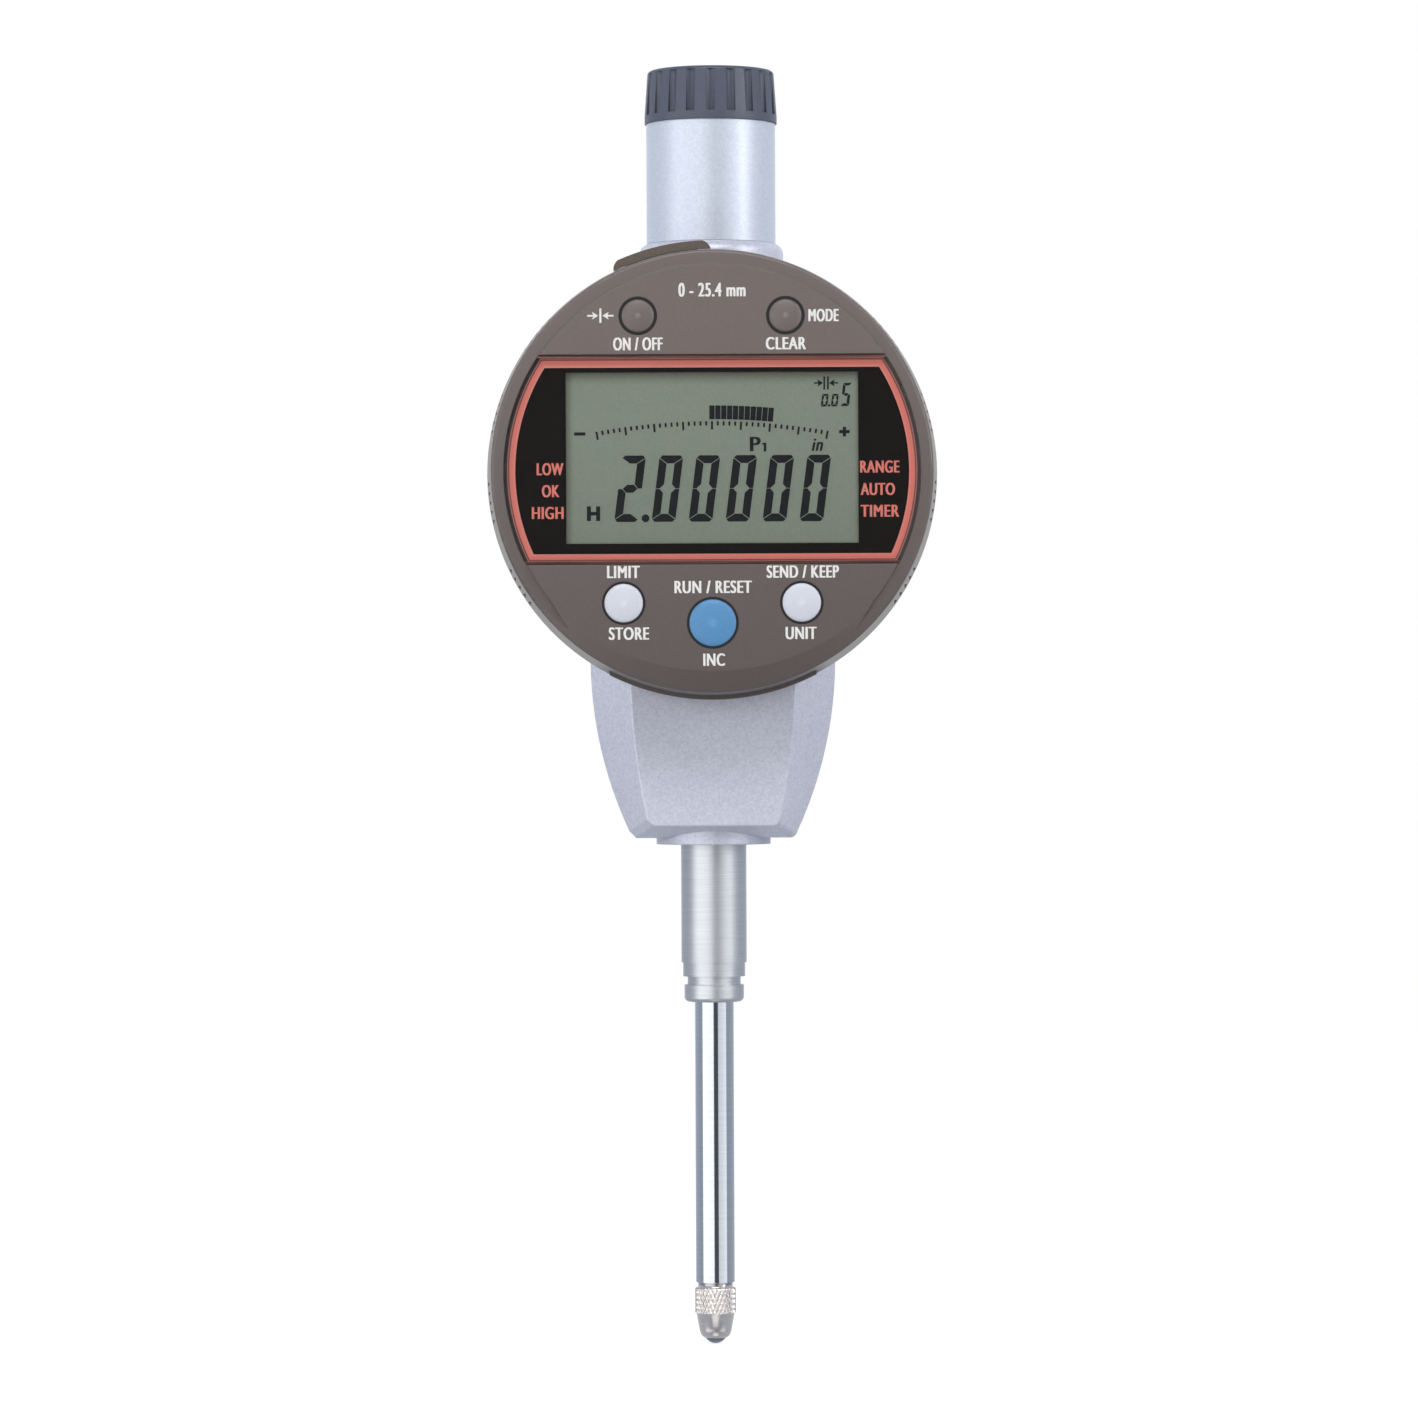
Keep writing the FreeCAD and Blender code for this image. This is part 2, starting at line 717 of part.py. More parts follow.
def make_stem():
    """The 8 mm stem: clamp length, stop groove and collar below, and a flange that seats in the case."""
    bush_bore = size.bush_radius + size.seat_gap
    recess = size.wiper_height + size.bush_length + size.clear_gap
    body = turned("stem", [
        (bush_bore, STEM_END),
        (size.stem_collar_radius - size.stem_collar_round, STEM_END),
        (size.stem_collar_radius, STEM_END + size.stem_collar_round, size.stem_collar_round, 1),
        (size.stem_collar_radius, STEM_COLLAR),
        (size.stem_groove_radius, STEM_COLLAR),
        (size.stem_groove_radius, STEM_GROOVE),
        (size.stem_band_radius, STEM_GROOVE),
        (size.stem_band_radius, STEM_LOW),
        (size.stem_radius, STEM_LOW),
        (size.stem_radius, STEM_TOP),
        (size.stem_seat_radius, STEM_TOP),
        (size.stem_seat_radius, CASE_FLOOR),
        (size.stem_flange_radius, CASE_FLOOR),
        (size.stem_flange_radius, STEM_FLANGE_TOP),
        (size.stem_head_radius, STEM_FLANGE_TOP),
        (size.stem_head_radius, STEM_HEAD),
        (bush_bore, STEM_HEAD),
        (bush_bore, STEM_HEAD - size.bush_length - size.seat_gap),
        (size.stem_bore_radius, STEM_HEAD - size.bush_length - size.seat_gap),
        (size.stem_bore_radius, STEM_END + recess),
        (bush_bore, STEM_END + recess),
    ])
    return body


def make_bushes():
    """Bronze bushes at both ends of the stem and in the upper guide, and the rubber wiper below them."""
    bore = size.spindle_radius + size.slide_gap
    wiper_top = STEM_END + size.seat_gap + size.wiper_height
    low_bush = wiper_top + size.seat_gap
    turned("dust_wiper", ring_path(bore, size.bush_radius, STEM_END + size.seat_gap, wiper_top))
    turned("lower_bush", ring_path(bore, size.bush_radius, low_bush, low_bush + size.bush_length))
    turned("stem_bush", ring_path(bore, size.bush_radius, STEM_HEAD - size.bush_length, STEM_HEAD))
    turned("upper_bush", ring_path(bore, size.bush_radius, BRACKET_LOW, BRACKET_TOP))


def make_bumper():
    """The rubber ring that the carriage comes down on."""
    bore = size.spindle_radius + size.slide_gap * 5
    turned("bumper", ring_path(
        bore, size.bumper_radius, STEM_HEAD + size.seat_gap, STEM_HEAD + size.bumper_height))


# Case


def make_main_case():
    """The cast case: drum, tapering lower body with its faceted front, boss for the stem, and collar."""
    body = body_of("main_case")
    depth = size.case_front + size.case_back
    facet_plane = size.case_front - size.facet_depth
    body_top = CASE_BOTTOM + size.body_rise + size.body_run_in

    drum = sketch_on(body, "XZ_Plane", -size.case_back)
    circle(drum, 0, DIAL, DRUM_OUTSIDE)
    pad(body, drum, depth)

    lower = sketch_on(body, "XZ_Plane", -size.case_back)
    draw(lower, lower_outline(size.body_half_width, size.body_sweep, CASE_BOTTOM, body_top))
    pad(body, lower, size.case_back + facet_plane)

    facet_foot = sketch_on(body, "XZ_Plane", facet_plane)
    draw(facet_foot, lower_outline(size.body_half_width, size.body_sweep, CASE_BOTTOM, body_top))
    plateau = sketch_on(body, "XZ_Plane", size.case_front)
    draw(plateau, lower_outline(
        size.plateau_half_width, size.plateau_sweep, CASE_BOTTOM + size.crease_rise, body_top))
    facets = body.newObject("PartDesign::AdditiveLoft", "facets")
    facets.Profile = facet_foot
    facets.Sections = [plateau]
    facets.Ruled = True

    boss = sketch_on(body, "XY_Plane", STEM_TOP)
    circle(boss, 0, 0, size.boss_radius)
    pad(body, boss, size.boss_height + size.floor_height)

    collar = sketch_on(body, "XZ_Plane")
    collar_low = DIAL + DRUM_INSIDE - size.spigot_length / 2
    draw(collar, [
        (0, collar_low),
        (size.collar_radius, collar_low),
        (size.collar_radius, COLLAR_TOP - size.collar_shoulder),
        (size.tube_radius, COLLAR_TOP, size.collar_shoulder, 1),
        (0, COLLAR_TOP),
    ])
    spin(body, collar)

    cavity = sketch_on(body, "XZ_Plane", -size.case_back)
    circle(cavity, 0, DIAL, DRUM_INSIDE)
    pocket(body, cavity, depth - size.front_wall, reverse=True)

    throat = sketch_on(body, "XY_Plane", DIAL)
    draw(throat, [
        (-size.throat_half_width, -WALL_INSIDE),
        (size.throat_half_width, -WALL_INSIDE),
        (size.throat_half_width, size.throat_back),
        (-size.throat_half_width, size.throat_back),
    ])
    pocket(body, throat, DIAL - CASE_FLOOR)

    stem_bore = sketch_on(body, "XY_Plane", CASE_FLOOR)
    circle(stem_bore, 0, 0, size.stem_seat_radius + size.seat_gap)
    pocket(body, stem_bore, size.floor_height + size.boss_height)

    neck_bore = sketch_on(body, "XY_Plane", COLLAR_TOP)
    circle(neck_bore, 0, 0, size.tube_bore)
    pocket(body, neck_bore, size.collar_rise - DRUM_OUTSIDE / 2)
    spigot_seat = sketch_on(body, "XY_Plane", COLLAR_TOP)
    circle(spigot_seat, 0, 0, size.spigot_radius + size.seat_gap)
    pocket(body, spigot_seat, size.spigot_length + size.seat_gap)

    hub_bore = sketch_on(body, "XZ_Plane", size.case_front)
    circle(hub_bore, 0, DIAL, size.hub_radius + size.turn_gap)
    pocket(body, hub_bore, size.front_wall)

    stop_slot = sketch_on(body, "YZ_Plane")
    half_slot = size.stop_pin_radius + size.clear_gap / 3
    stop_level = DIAL + size.stop_circle
    draw(stop_slot, [
        (-size.case_front, stop_level - half_slot),
        (-size.case_front + size.stop_slot_depth, stop_level - half_slot),
        (-size.case_front + size.stop_slot_depth, stop_level + half_slot),
        (-size.case_front, stop_level + half_slot),
    ])
    axis = sketch_axis(stop_slot, DIAL, size.case_front)
    spin(body, stop_slot, "Groove", axis, 2 * (size.turn_range + size.stop_margin * 2), middle=True)

    posts = sketch_on(body, "XZ_Plane", -size.case_back)
    for across, level in post_places():
        circle(posts, across, level, size.post_radius)
    pad(body, posts, depth - size.front_wall / 2)
    pillars = sketch_on(body, "XZ_Plane", -(size.carrier_back + size.scale_thickness + size.clear_gap))
    for across, level in board_screw_places():
        circle(pillars, across, level, size.pillar_radius)
    pad(body, pillars, size.carrier_back + size.scale_thickness + size.clear_gap + WALL_INSIDE)
    brackets = sketch_on(body, "XZ_Plane", size.carrier_front)
    for across, level in bracket_screw_places():
        circle(brackets, across, level, size.pillar_radius)
    pad(body, brackets, WALL_INSIDE - size.carrier_front)

    pilots = sketch_on(body, "XZ_Plane", -size.case_back)
    for across, level in post_places() + board_screw_places() + bracket_screw_places():
        circle(pilots, across, level, size.screw_radius + size.seat_gap)
    pocket(body, pilots, depth - size.front_wall, reverse=True)

    spring_hole = sketch_on(body, "XZ_Plane", WALL_INSIDE)
    circle(spring_hole, size.spring_offset, SPRING_POST, size.spring_post_radius + size.seat_gap)
    pocket(body, spring_hole, size.front_wall / 2, reverse=True)


def lower_outline(half_width, sweep, low, top):
    """Front outline of the lower body: rounded corners, sides that sweep out, then straight up."""
    widest = CASE_BOTTOM + size.body_rise
    corner_top = low + size.body_corner
    side = half_width - sweep + leg(sweep, widest - corner_top)
    foot = side - size.body_corner
    return [
        (-foot, low),
        (foot, low),
        (side, corner_top, size.body_corner_round, 1),
        (half_width, widest, sweep, 1),
        (half_width, top),
        (-half_width, top),
        (-half_width, widest),
        (-side, corner_top, sweep, 1),
    ]


def sketch_axis(sketch, level, length):
    """A construction line across the sketch at a level, for a feature that turns about it."""
    index = sketch.GeometryCount
    sketch.addGeometry(
        Part.LineSegment(Vector(0, level.number, 0), Vector(-length.number, level.number, 0)), True)
    sketch.addConstraint([
        Sketcher.Constraint("Horizontal", index),
        Sketcher.Constraint("PointOnObject", index, 1, -2),
    ])
    tie(sketch, [
        (Sketcher.Constraint("DistanceY", -1, 1, index, 1, level.number), level),
        (Sketcher.Constraint("DistanceX", -1, 1, index, 2, -length.number), -length),
    ])
    return "Axis0"


def post_places():
    """Four posts inside the drum, on the diagonals."""
    reach = (DRUM_INSIDE - size.post_inset) * cosine(45)
    return [(side * reach, DIAL + level * reach) for side in (-1, 1) for level in (-1, 1)]


def board_screw_places():
    inset = size.board_screw_inset
    return [(side * (size.board_half_width - inset), DIAL + up)
            for side in (-1, 1)
            for up in (size.board_low + inset, size.board_high - inset)]


def bracket_screw_places():
    return [(side * size.bracket_screw_place, BRACKET_LOW + size.bracket_height / 2) for side in (-1, 1)]


def make_back_cover():
    """The round back with its lug; the lug's hole takes the mounting screw."""
    body = body_of("back_cover")
    back = size.case_back + size.back_thickness
    plate = sketch_on(body, "XZ_Plane", -back)
    circle(plate, 0, DIAL, DRUM_OUTSIDE)
    pad(body, plate, size.back_thickness - size.seat_gap)
    lug = sketch_on(body, "YZ_Plane", -size.lug_thickness / 2)
    hole = back + size.lug_hole_offset
    draw(lug, [
        (back - size.seat_gap, DIAL - size.lug_foot),
        (hole, DIAL - size.lug_end_radius),
        (hole + size.lug_end_radius, DIAL, size.lug_end_radius, 1),
        (hole, DIAL + size.lug_end_radius, size.lug_end_radius, 1),
        (back - size.seat_gap, DIAL + size.lug_foot),
    ])
    circle(lug, hole, DIAL, size.lug_hole_radius)
    pad(body, lug, size.lug_thickness)
    sinks = sketch_on(body, "XZ_Plane", -back)
    for across, level in post_places():
        circle(sinks, across, level, size.screw_head_radius + size.seat_gap * 5)
    pocket(body, sinks, size.screw_head_height, reverse=True)
    holes = sketch_on(body, "XZ_Plane", -back)
    for across, level in post_places():
        circle(holes, across, level, size.screw_radius + size.seat_gap * 5)
    pocket(body, holes, size.back_thickness, reverse=True)
    screws("back_screws", post_places(), back - size.screw_head_height + size.seat_gap, True,
           size.post_radius * 3)


# Top tube and its cap


def make_top_tube():
    """The tube over the spindle's upper end, screwed into the case's collar."""
    seal_seat = size.tube_bore + size.seal_section * 2
    turned("top_tube", [
        (size.tube_bore, COLLAR_TOP - size.spigot_length),
        (size.spigot_radius, COLLAR_TOP - size.spigot_length),
        (size.spigot_radius, COLLAR_TOP + size.seat_gap),
        (size.tube_radius, COLLAR_TOP + size.seat_gap),
        (size.tube_radius, TUBE_TOP),
        (seal_seat, TUBE_TOP),
        (seal_seat, TUBE_TOP - size.seal_section * 2),
        (size.tube_bore, TUBE_TOP - size.seal_section * 2),
    ])


def make_top_cap():
    """The fluted screw cap."""
    body = turned("top_cap", [
        (size.cap_bore, TUBE_TOP - size.cap_skirt),
        (size.tube_bore - size.turn_gap, TUBE_TOP - size.cap_skirt),
        (size.tube_bore - size.turn_gap, TUBE_TOP - size.seal_section * 2),
        (size.tube_bore - size.seal_section, TUBE_TOP - size.seal_section * 2),
        (size.tube_bore - size.seal_section, TUBE_TOP + size.seat_gap),
        (size.cap_radius, TUBE_TOP + size.seat_gap),
        (size.cap_radius, TUBE_TOP + size.cap_rim),
        (size.cap_top_radius, CAP_TOP - size.cap_round),
        (size.cap_top_radius - size.cap_round, CAP_TOP, size.cap_round, 1),
        (0, CAP_TOP),
        (0, CAP_TOP - size.cap_roof),
        (size.cap_bore, CAP_TOP - size.cap_roof),
    ])
    flute = sketch_on(body, "XY_Plane", CAP_TOP - size.flute_stop)
    half = size.flute_width / 2
    bottom = size.cap_top_radius - size.flute_depth
    outside = size.cap_radius + size.cap_round
    draw(flute, [
        (-half, bottom + half / 2),
        (0, bottom, size.flute_width, 1),
        (half, bottom + half / 2, size.flute_width, 1),
        (half, outside),
        (-half, outside),
    ])
    cutter = pocket(body, flute, size.cap_height - size.flute_stop - size.cap_rim)
    polar(body, cutter, size.flutes)


def make_cap_seal():
    """The rubber ring under the cap's shoulder; it stays on the cap's skirt."""
    seal = doc.addObject("Part::Torus", "cap_seal")
    bind(seal, "Radius1", size.tube_bore + size.seat_gap)
    bind(seal, "Radius2", size.seal_section - size.seat_gap)
    bind(seal, "Placement.Base.z", TUBE_TOP - size.seal_section)
    keep(seal, "cap_seal")


# Carriage on the spindle, and what guides and returns it


def make_scale_carrier():
    """The block clamped on the spindle. It carries the scale, the guide pin and the spring's arm."""
    hub = block("carrier_hub", -size.carrier_left, size.carrier_right, -size.carrier_front,
                size.carrier_back, CARRIER_LOW, CARRIER_TOP)
    arm = block("carrier_arm", 0, size.arm_reach, -size.carrier_front, size.carrier_back,
                CARRIER_TOP - size.arm_height, CARRIER_TOP)
    tools = [
        rod("carrier_bore", "Z", (0, 0), CARRIER_LOW - 1, CARRIER_TOP + 1,
            size.spindle_radius + size.seat_gap),
        rod("carrier_pin_hole", "X", (0, GUIDE_PIN), -size.carrier_left - 1, -size.carrier_right,
            size.guide_pin_radius + size.seat_gap),
    ]
    for level in clamp_levels():
        tools.append(rod("clamp_hole", "Y", (0, level), -size.carrier_front - 1, -size.spindle_radius,
                         size.screw_radius + size.seat_gap))
    keep(cut("scale_carrier", fused("carrier_block", [hub, arm]), tools), "scale_carrier")
    pins = []
    for level in clamp_levels():
        pins.append(rod("clamp_screw", "Y", (0, level), -size.carrier_front + size.seat_gap,
                        -size.spindle_radius - size.seat_gap, size.screw_radius))
    keep(fused("clamp_screws", pins), "clamp_screws")


def clamp_levels():
    quarter = size.carrier_height / 4
    return [CARRIER_LOW + quarter, CARRIER_LOW + 2 * quarter]


def make_encoder():
    """The scale on the carriage and the detector board that reads it."""
    keep(block("encoder_scale", -size.scale_width / 2, size.scale_width / 2,
               size.carrier_back + size.seat_gap, size.carrier_back + size.scale_thickness,
               CARRIER_LOW, CARRIER_LOW + size.scale_length), "encoder_scale")
    front = size.carrier_back + size.scale_thickness + size.clear_gap + size.seat_gap
    board = block("detector_blank", -size.board_half_width, size.board_half_width, front,
                  front + size.board_thickness, DIAL + size.board_low, DIAL + size.board_high)
    holes = [rod("detector_hole", "Y", place, front - 1, front + size.board_thickness + 1,
                 size.screw_radius + size.seat_gap * 5) for place in board_screw_places()]
    keep(cut("detector_board", board, holes), "detector_board")
    screws("detector_screws", board_screw_places(), front + size.board_thickness + size.seat_gap, True,
           size.post_radius * 2)


def make_guide():
    """The pin that stops the spindle from turning, and the slotted rail it runs in."""
    pin_end = size.rail_left - size.rail_web - size.clear_gap
    keep(rod("guide_pin", "X", (0, GUIDE_PIN), -pin_end, -size.carrier_right - size.seat_gap,
             size.guide_pin_radius), "guide_pin")
    low, high = RAIL_LOW, GUIDE_PIN + size.travel + size.rail_margin
    blank = block("rail_blank", -size.rail_left, -size.rail_right, -WALL_INSIDE + size.seat_gap,
                  size.rail_back, low, high)
    half = size.guide_pin_radius + size.slide_gap
    slot = block("rail_slot", -size.rail_left + size.rail_web, -size.rail_right + 1, -half, half,
                 low - 1, high + 1)
    keep(cut("guide_rail", blank, [slot]), "guide_rail")


def make_return_spring():
    """The coil spring that draws the carriage down to its stop, and the post that holds its foot."""
    body = body_of("return_spring")
    sketch = sketch_on(body, "XZ_Plane")
    circle(sketch, size.spring_radius - size.spring_wire, size.spring_wire, size.spring_wire)
    coil = body.newObject("PartDesign::AdditiveHelix", "coil")
    coil.Profile = sketch
    coil.ReferenceAxis = (sketch, ["V_Axis"])
    coil.Mode = "pitch-height-angle"
    bind(coil, "Pitch", size.spring_pitch)
    bind(coil, "Height", SPRING_TOP - SPRING_LOW - size.spring_wire * 2)
    bind(body, "Placement.Base.x", size.spring_offset)
    bind(body, "Placement.Base.z", SPRING_LOW)
    keep(rod("spring_post", "Y", (size.spring_offset, SPRING_POST), -WALL_INSIDE - size.front_wall / 2,
             size.spring_radius, size.spring_post_radius), "spring_post")


def make_guide_bracket():
    """The bridge above the carriage that holds the upper bush."""
    blank = block("bracket_blank", -size.bracket_half_width, size.bracket_half_width,
                  -size.carrier_front + size.seat_gap, size.carrier_back - size.clear_gap,
                  BRACKET_LOW, BRACKET_TOP)
    tools = [rod("bracket_bore", "Z", (0, 0), BRACKET_LOW - 1, BRACKET_TOP + 1,
                 size.bush_radius + size.seat_gap)]
    for place in bracket_screw_places():
        tools.append(rod("bracket_hole", "Y", place, -size.carrier_front - 1, size.carrier_back,
                         size.screw_radius + size.seat_gap * 5))
    keep(cut("guide_bracket", blank, tools), "guide_bracket")
    screws("bracket_screws", bracket_screw_places(), size.carrier_back - size.clear_gap + size.seat_gap,
           True, size.post_radius * 4)


def make_ribbon():
    """The flat cable from the detector board through the hub to the display."""
    body = body_of("ribbon_cable")
    sketch = sketch_on(body, "XY_Plane", DIAL + size.ribbon_rise - size.ribbon_width / 2)
    thick = size.ribbon_thickness
    board = size.carrier_back + size.scale_thickness + size.clear_gap + size.seat_gap
    out = size.ribbon_turn
    run = -size.carrier_front - size.clear_gap * 3
    draw(sketch, [
        (size.board_half_width - 1, board - thick - size.seat_gap),
        (out - thick, board - thick - size.seat_gap),
        (out - thick, run + thick),
        (size.ribbon_place, run + thick),
        (size.ribbon_place, -BOARD_REAR + size.seat_gap),
        (size.ribbon_place + thick, -BOARD_REAR + size.seat_gap),
        (size.ribbon_place + thick, run),
        (out, run),
        (out, board - size.seat_gap),
        (size.board_half_width - 1, board - size.seat_gap),
    ])
    pad(body, sketch, size.ribbon_width)


# Hub between case and display


def make_hub():
    """The hub that carries the display: flange inside the cover, groove for the ring behind the wall."""
    groove_front = HUB_GROOVE + size.ring_thickness + size.seat_gap
    body = turned("hub", [
        (size.hub_bore, size.hub_end),
        (size.hub_radius, size.hub_end),
        (size.hub_radius, HUB_GROOVE - size.seat_gap),
        (size.hub_radius - size.ring_groove, HUB_GROOVE - size.seat_gap),
        (size.hub_radius - size.ring_groove, groove_front),
        (size.hub_radius, groove_front),
        (size.hub_radius, COVER_INSIDE + size.seat_gap),
        (size.hub_flange_radius, COVER_INSIDE + size.seat_gap),
        (size.hub_flange_radius, COVER_INSIDE + size.hub_flange),
        (size.hub_bore, COVER_INSIDE + size.hub_flange),
    ])
    stand_up(body)


def make_hub_rings():
    """The friction washer on the wall's inner face, the open retaining ring, and the stop pin."""
    washer = turned("friction_washer", ring_path(
        size.hub_radius + size.turn_gap, size.hub_radius + size.washer_reach, WASHER_BACK, WASHER_FRONT))
    stand_up(washer)
    ring = body_of("retaining_ring")
    sketch = sketch_on(ring, "XZ_Plane")
    draw(sketch, ring_path(size.hub_radius - size.ring_groove + size.seat_gap,
                           size.hub_radius + size.ring_reach, HUB_GROOVE,
                           HUB_GROOVE + size.ring_thickness))
    spin(ring, sketch, angle=size.ring_arc, middle=True)
    stand_up(ring)
    level = DIAL + size.stop_circle
    keep(rod("turn_stop_pin", "Y", (0, level), -COVER_INSIDE,
             -size.case_front + size.stop_slot_depth - size.clear_gap, size.stop_pin_radius),
         "turn_stop_pin")


# Display casing


def display_screw_places():
    return [
        (side * across, DIAL + up)
        for side in (-1, 1)
        for across, up in ((leg(BOSS_POST, BOSS_UP), BOSS_UP), (leg(BOSS_POST, BOSS_DOWN), -BOSS_DOWN))
    ]


def make_display_rear_cover():
    """The dished rear cover of the display, with the spigot that the bezel closes on."""
    spigot = BEZEL_INSIDE - size.turn_gap
    body = turned("display_rear_cover", [
        (size.hub_radius + size.seat_gap, REAR),
        (COVER_EDGE - size.edge_break * 2, REAR),
        (COVER_EDGE, REAR + size.edge_break * 2, size.edge_break * 2, 1),
        (COVER_EDGE, BEZEL_END - size.seal_thickness),
        (spigot, BEZEL_END - size.seal_thickness),
        (spigot, REAR + size.cover_spigot),
        (spigot - size.spigot_wall, REAR + size.cover_spigot),
        (spigot - size.spigot_wall, COVER_INSIDE),
        (size.hub_radius + size.seat_gap, COVER_INSIDE),
    ])
    stand_up(body)
    holes = sketch_on(body, "XY_Plane", COVER_INSIDE)
    circle(holes, 0, size.stop_circle, size.stop_pin_radius + size.seat_gap)
    for across, level in display_screw_places():
        circle(holes, across, level - DIAL, size.screw_radius + size.seat_gap * 5)
    pocket(body, holes, size.cover_thickness)
    sinks = sketch_on(body, "XY_Plane", REAR)
    for across, level in display_screw_places():
        circle(sinks, across, level - DIAL, size.screw_head_radius + size.seat_gap * 5)
    pocket(body, sinks, size.screw_head_height, reverse=True)
    notches = sketch_on(body, "XY_Plane", REAR + size.cover_spigot)
    for across, level in display_screw_places():
        circle(notches, across, level - DIAL, size.boss_post_radius + size.turn_gap * 2)
    pocket(body, notches, size.cover_spigot - size.cover_thickness)
    screws("display_screws", display_screw_places(), -REAR - size.screw_head_height + size.seat_gap, True,
           size.post_radius * 2)


def make_bezel():
    """The moulded front: conical grip wall, flat rim, raised face, tongue with its crescent, and window."""
    body = body_of("bezel")
    stand_up(body)
    shell = sketch_on(body, "XZ_Plane")
    draw(shell, [
        (BEZEL_INSIDE, BEZEL_END),
        (size.bezel_radius - size.edge_break / 2, BEZEL_END),
        (size.bezel_radius, BEZEL_END + size.bezel_widest),
        (BEZEL_FRONT, RIM - size.bezel_round),
        (RIM_OUTSIDE, RIM, size.bezel_round, 1),
        (RIM_INSIDE, RIM),
        (RIM_INSIDE - size.rim_step / 2, FACE),
        (0, FACE),
        (0, FACE_BACK),
        (FRONT_INSIDE, FACE_BACK),
        (BEZEL_INSIDE, REAR + size.cover_spigot + size.turn_gap),
    ])
    spin(body, shell)

    tongue = sketch_on(body, "XY_Plane", FACE)
    outer = BEZEL_FRONT - size.bezel_round / 2
    side, foot = leg(WINDOW - size.clear_gap, WINDOW_LOW), size.tongue_foot
    draw(tongue, [
        (-side, -WINDOW_LOW),
        (-foot, -leg(outer, foot)),
        (0, -outer, outer, 1),
        (foot, -leg(outer, foot), outer, 1),
        (side, -WINDOW_LOW),
    ])
    pad(body, tongue, size.rim_step + size.bezel_round, reverse=True)

    crescent = sketch_on(body, "YZ_Plane")
    draw(crescent, [
        (size.crescent_rise - CRESCENT, FACE + size.rim_step),
        (size.crescent_rise - CRESCENT, FACE),
        (size.crescent_rise - CRESCENT - size.crescent_run, FACE - size.crescent_fall),
        (size.crescent_rise - CRESCENT - size.crescent_run, FACE + size.rim_step),
    ])
    axis = upright_axis(crescent, size.crescent_rise, FACE)
    spin(body, crescent, "Groove", axis, size.crescent_arc, middle=True)

    window = sketch_on(body, "XY_Plane", FACE)
    draw(window, full_window(WINDOW, WINDOW_TOP, WINDOW_LOW))
    pocket(body, window, size.face_thickness)

    holes = sketch_on(body, "XY_Plane", FACE)
    for label, across, up, radius, gap in key_places():
        circle(holes, across, up, radius + gap)
    pocket(body, holes, size.face_thickness)

    bosses = sketch_on(body, "XY_Plane", COVER_INSIDE + size.seat_gap)
    for across, level in display_screw_places():
        circle(bosses, across, level - DIAL, size.boss_post_radius)
    pad(body, bosses, FACE_BACK - COVER_INSIDE)
    pilots = sketch_on(body, "XY_Plane", COVER_INSIDE)
    for across, level in display_screw_places():
        circle(pilots, across, level - DIAL, size.screw_radius + size.seat_gap)
    pocket(body, pilots, size.post_radius * 2, reverse=True)

    slots = sketch_on(body, "XY_Plane", TRAY_FRONT + size.turn_gap)
    half = size.tray_half_width + size.turn_gap
    draw(slots, [
        (-half, -size.bezel_radius - size.drum_wall),
        (half, -size.bezel_radius - size.drum_wall),
        (half, -CELL_DROP),
        (-half, -CELL_DROP),
    ])
    pocket(body, slots, size.tray_thickness + size.turn_gap * 2)
    port = sketch_on(body, "XY_Plane", PORT_MIDDLE + size.port_height / 2)
    draw(port, port_corners(size.port_half_width, FRONT_INSIDE - size.drum_wall,
                            size.bezel_radius + size.drum_wall))
    pocket(body, port, size.port_height)

    make_grip(body)


def make_grip(body):
    """Patches of fine grooves on both sides of the bezel: a groove, its patch, all patches, both sides."""
    groove = sketch_on(body, "XY_Plane", RIM - size.bezel_round * 2)
    depth = size.bezel_radius - size.grip_depth
    outside = size.bezel_radius + size.grip_depth
    half = size.grip_half_angle
    middle = size.grip_first_angle - size.grip_patch_angle * (size.grip_patches - 1) \
        - size.grip_tooth_angle * (size.grip_teeth - 1) / 2
    draw(groove, [
        (depth * cosine(middle), depth * sine(middle)),
        (outside * cosine(middle - half), outside * sine(middle - half)),
        (outside * cosine(middle + half), outside * sine(middle + half)),
    ])
    first = pocket(body, groove, size.grip_length)
    grip = body.newObject("PartDesign::MultiTransform", "grip")
    grip.Originals = [first]
    teeth = body.newObject("PartDesign::PolarPattern", "grip_teeth")
    bind(teeth, "Angle", size.grip_tooth_angle * (size.grip_teeth - 1))
    bind(teeth, "Occurrences", size.grip_teeth)
    patches = body.newObject("PartDesign::PolarPattern", "grip_patches")
    bind(patches, "Angle", size.grip_patch_angle * (size.grip_patches - 1))
    bind(patches, "Occurrences", size.grip_patches)
    for pattern in (teeth, patches):
        pattern.Axis = (origin_piece(body, "Z_Axis"), [""])
    other_side = body.newObject("PartDesign::Mirrored", "grip_other_side")
    other_side.MirrorPlane = (origin_piece(body, "YZ_Plane"), [""])
    grip.Transformations = [teeth, patches, other_side]
    body.Tip = grip


def port_corners(half_width, near, far):
    """A rectangle across the port's direction, which leans to the left of the top."""
    lean, rise = sine(size.port_angle), cosine(size.port_angle)
    return [
        (-reach * lean + aside * rise, reach * rise + aside * lean)
        for reach, aside in ((near, -half_width), (near, half_width), (far, half_width), (far, -half_width))
    ]


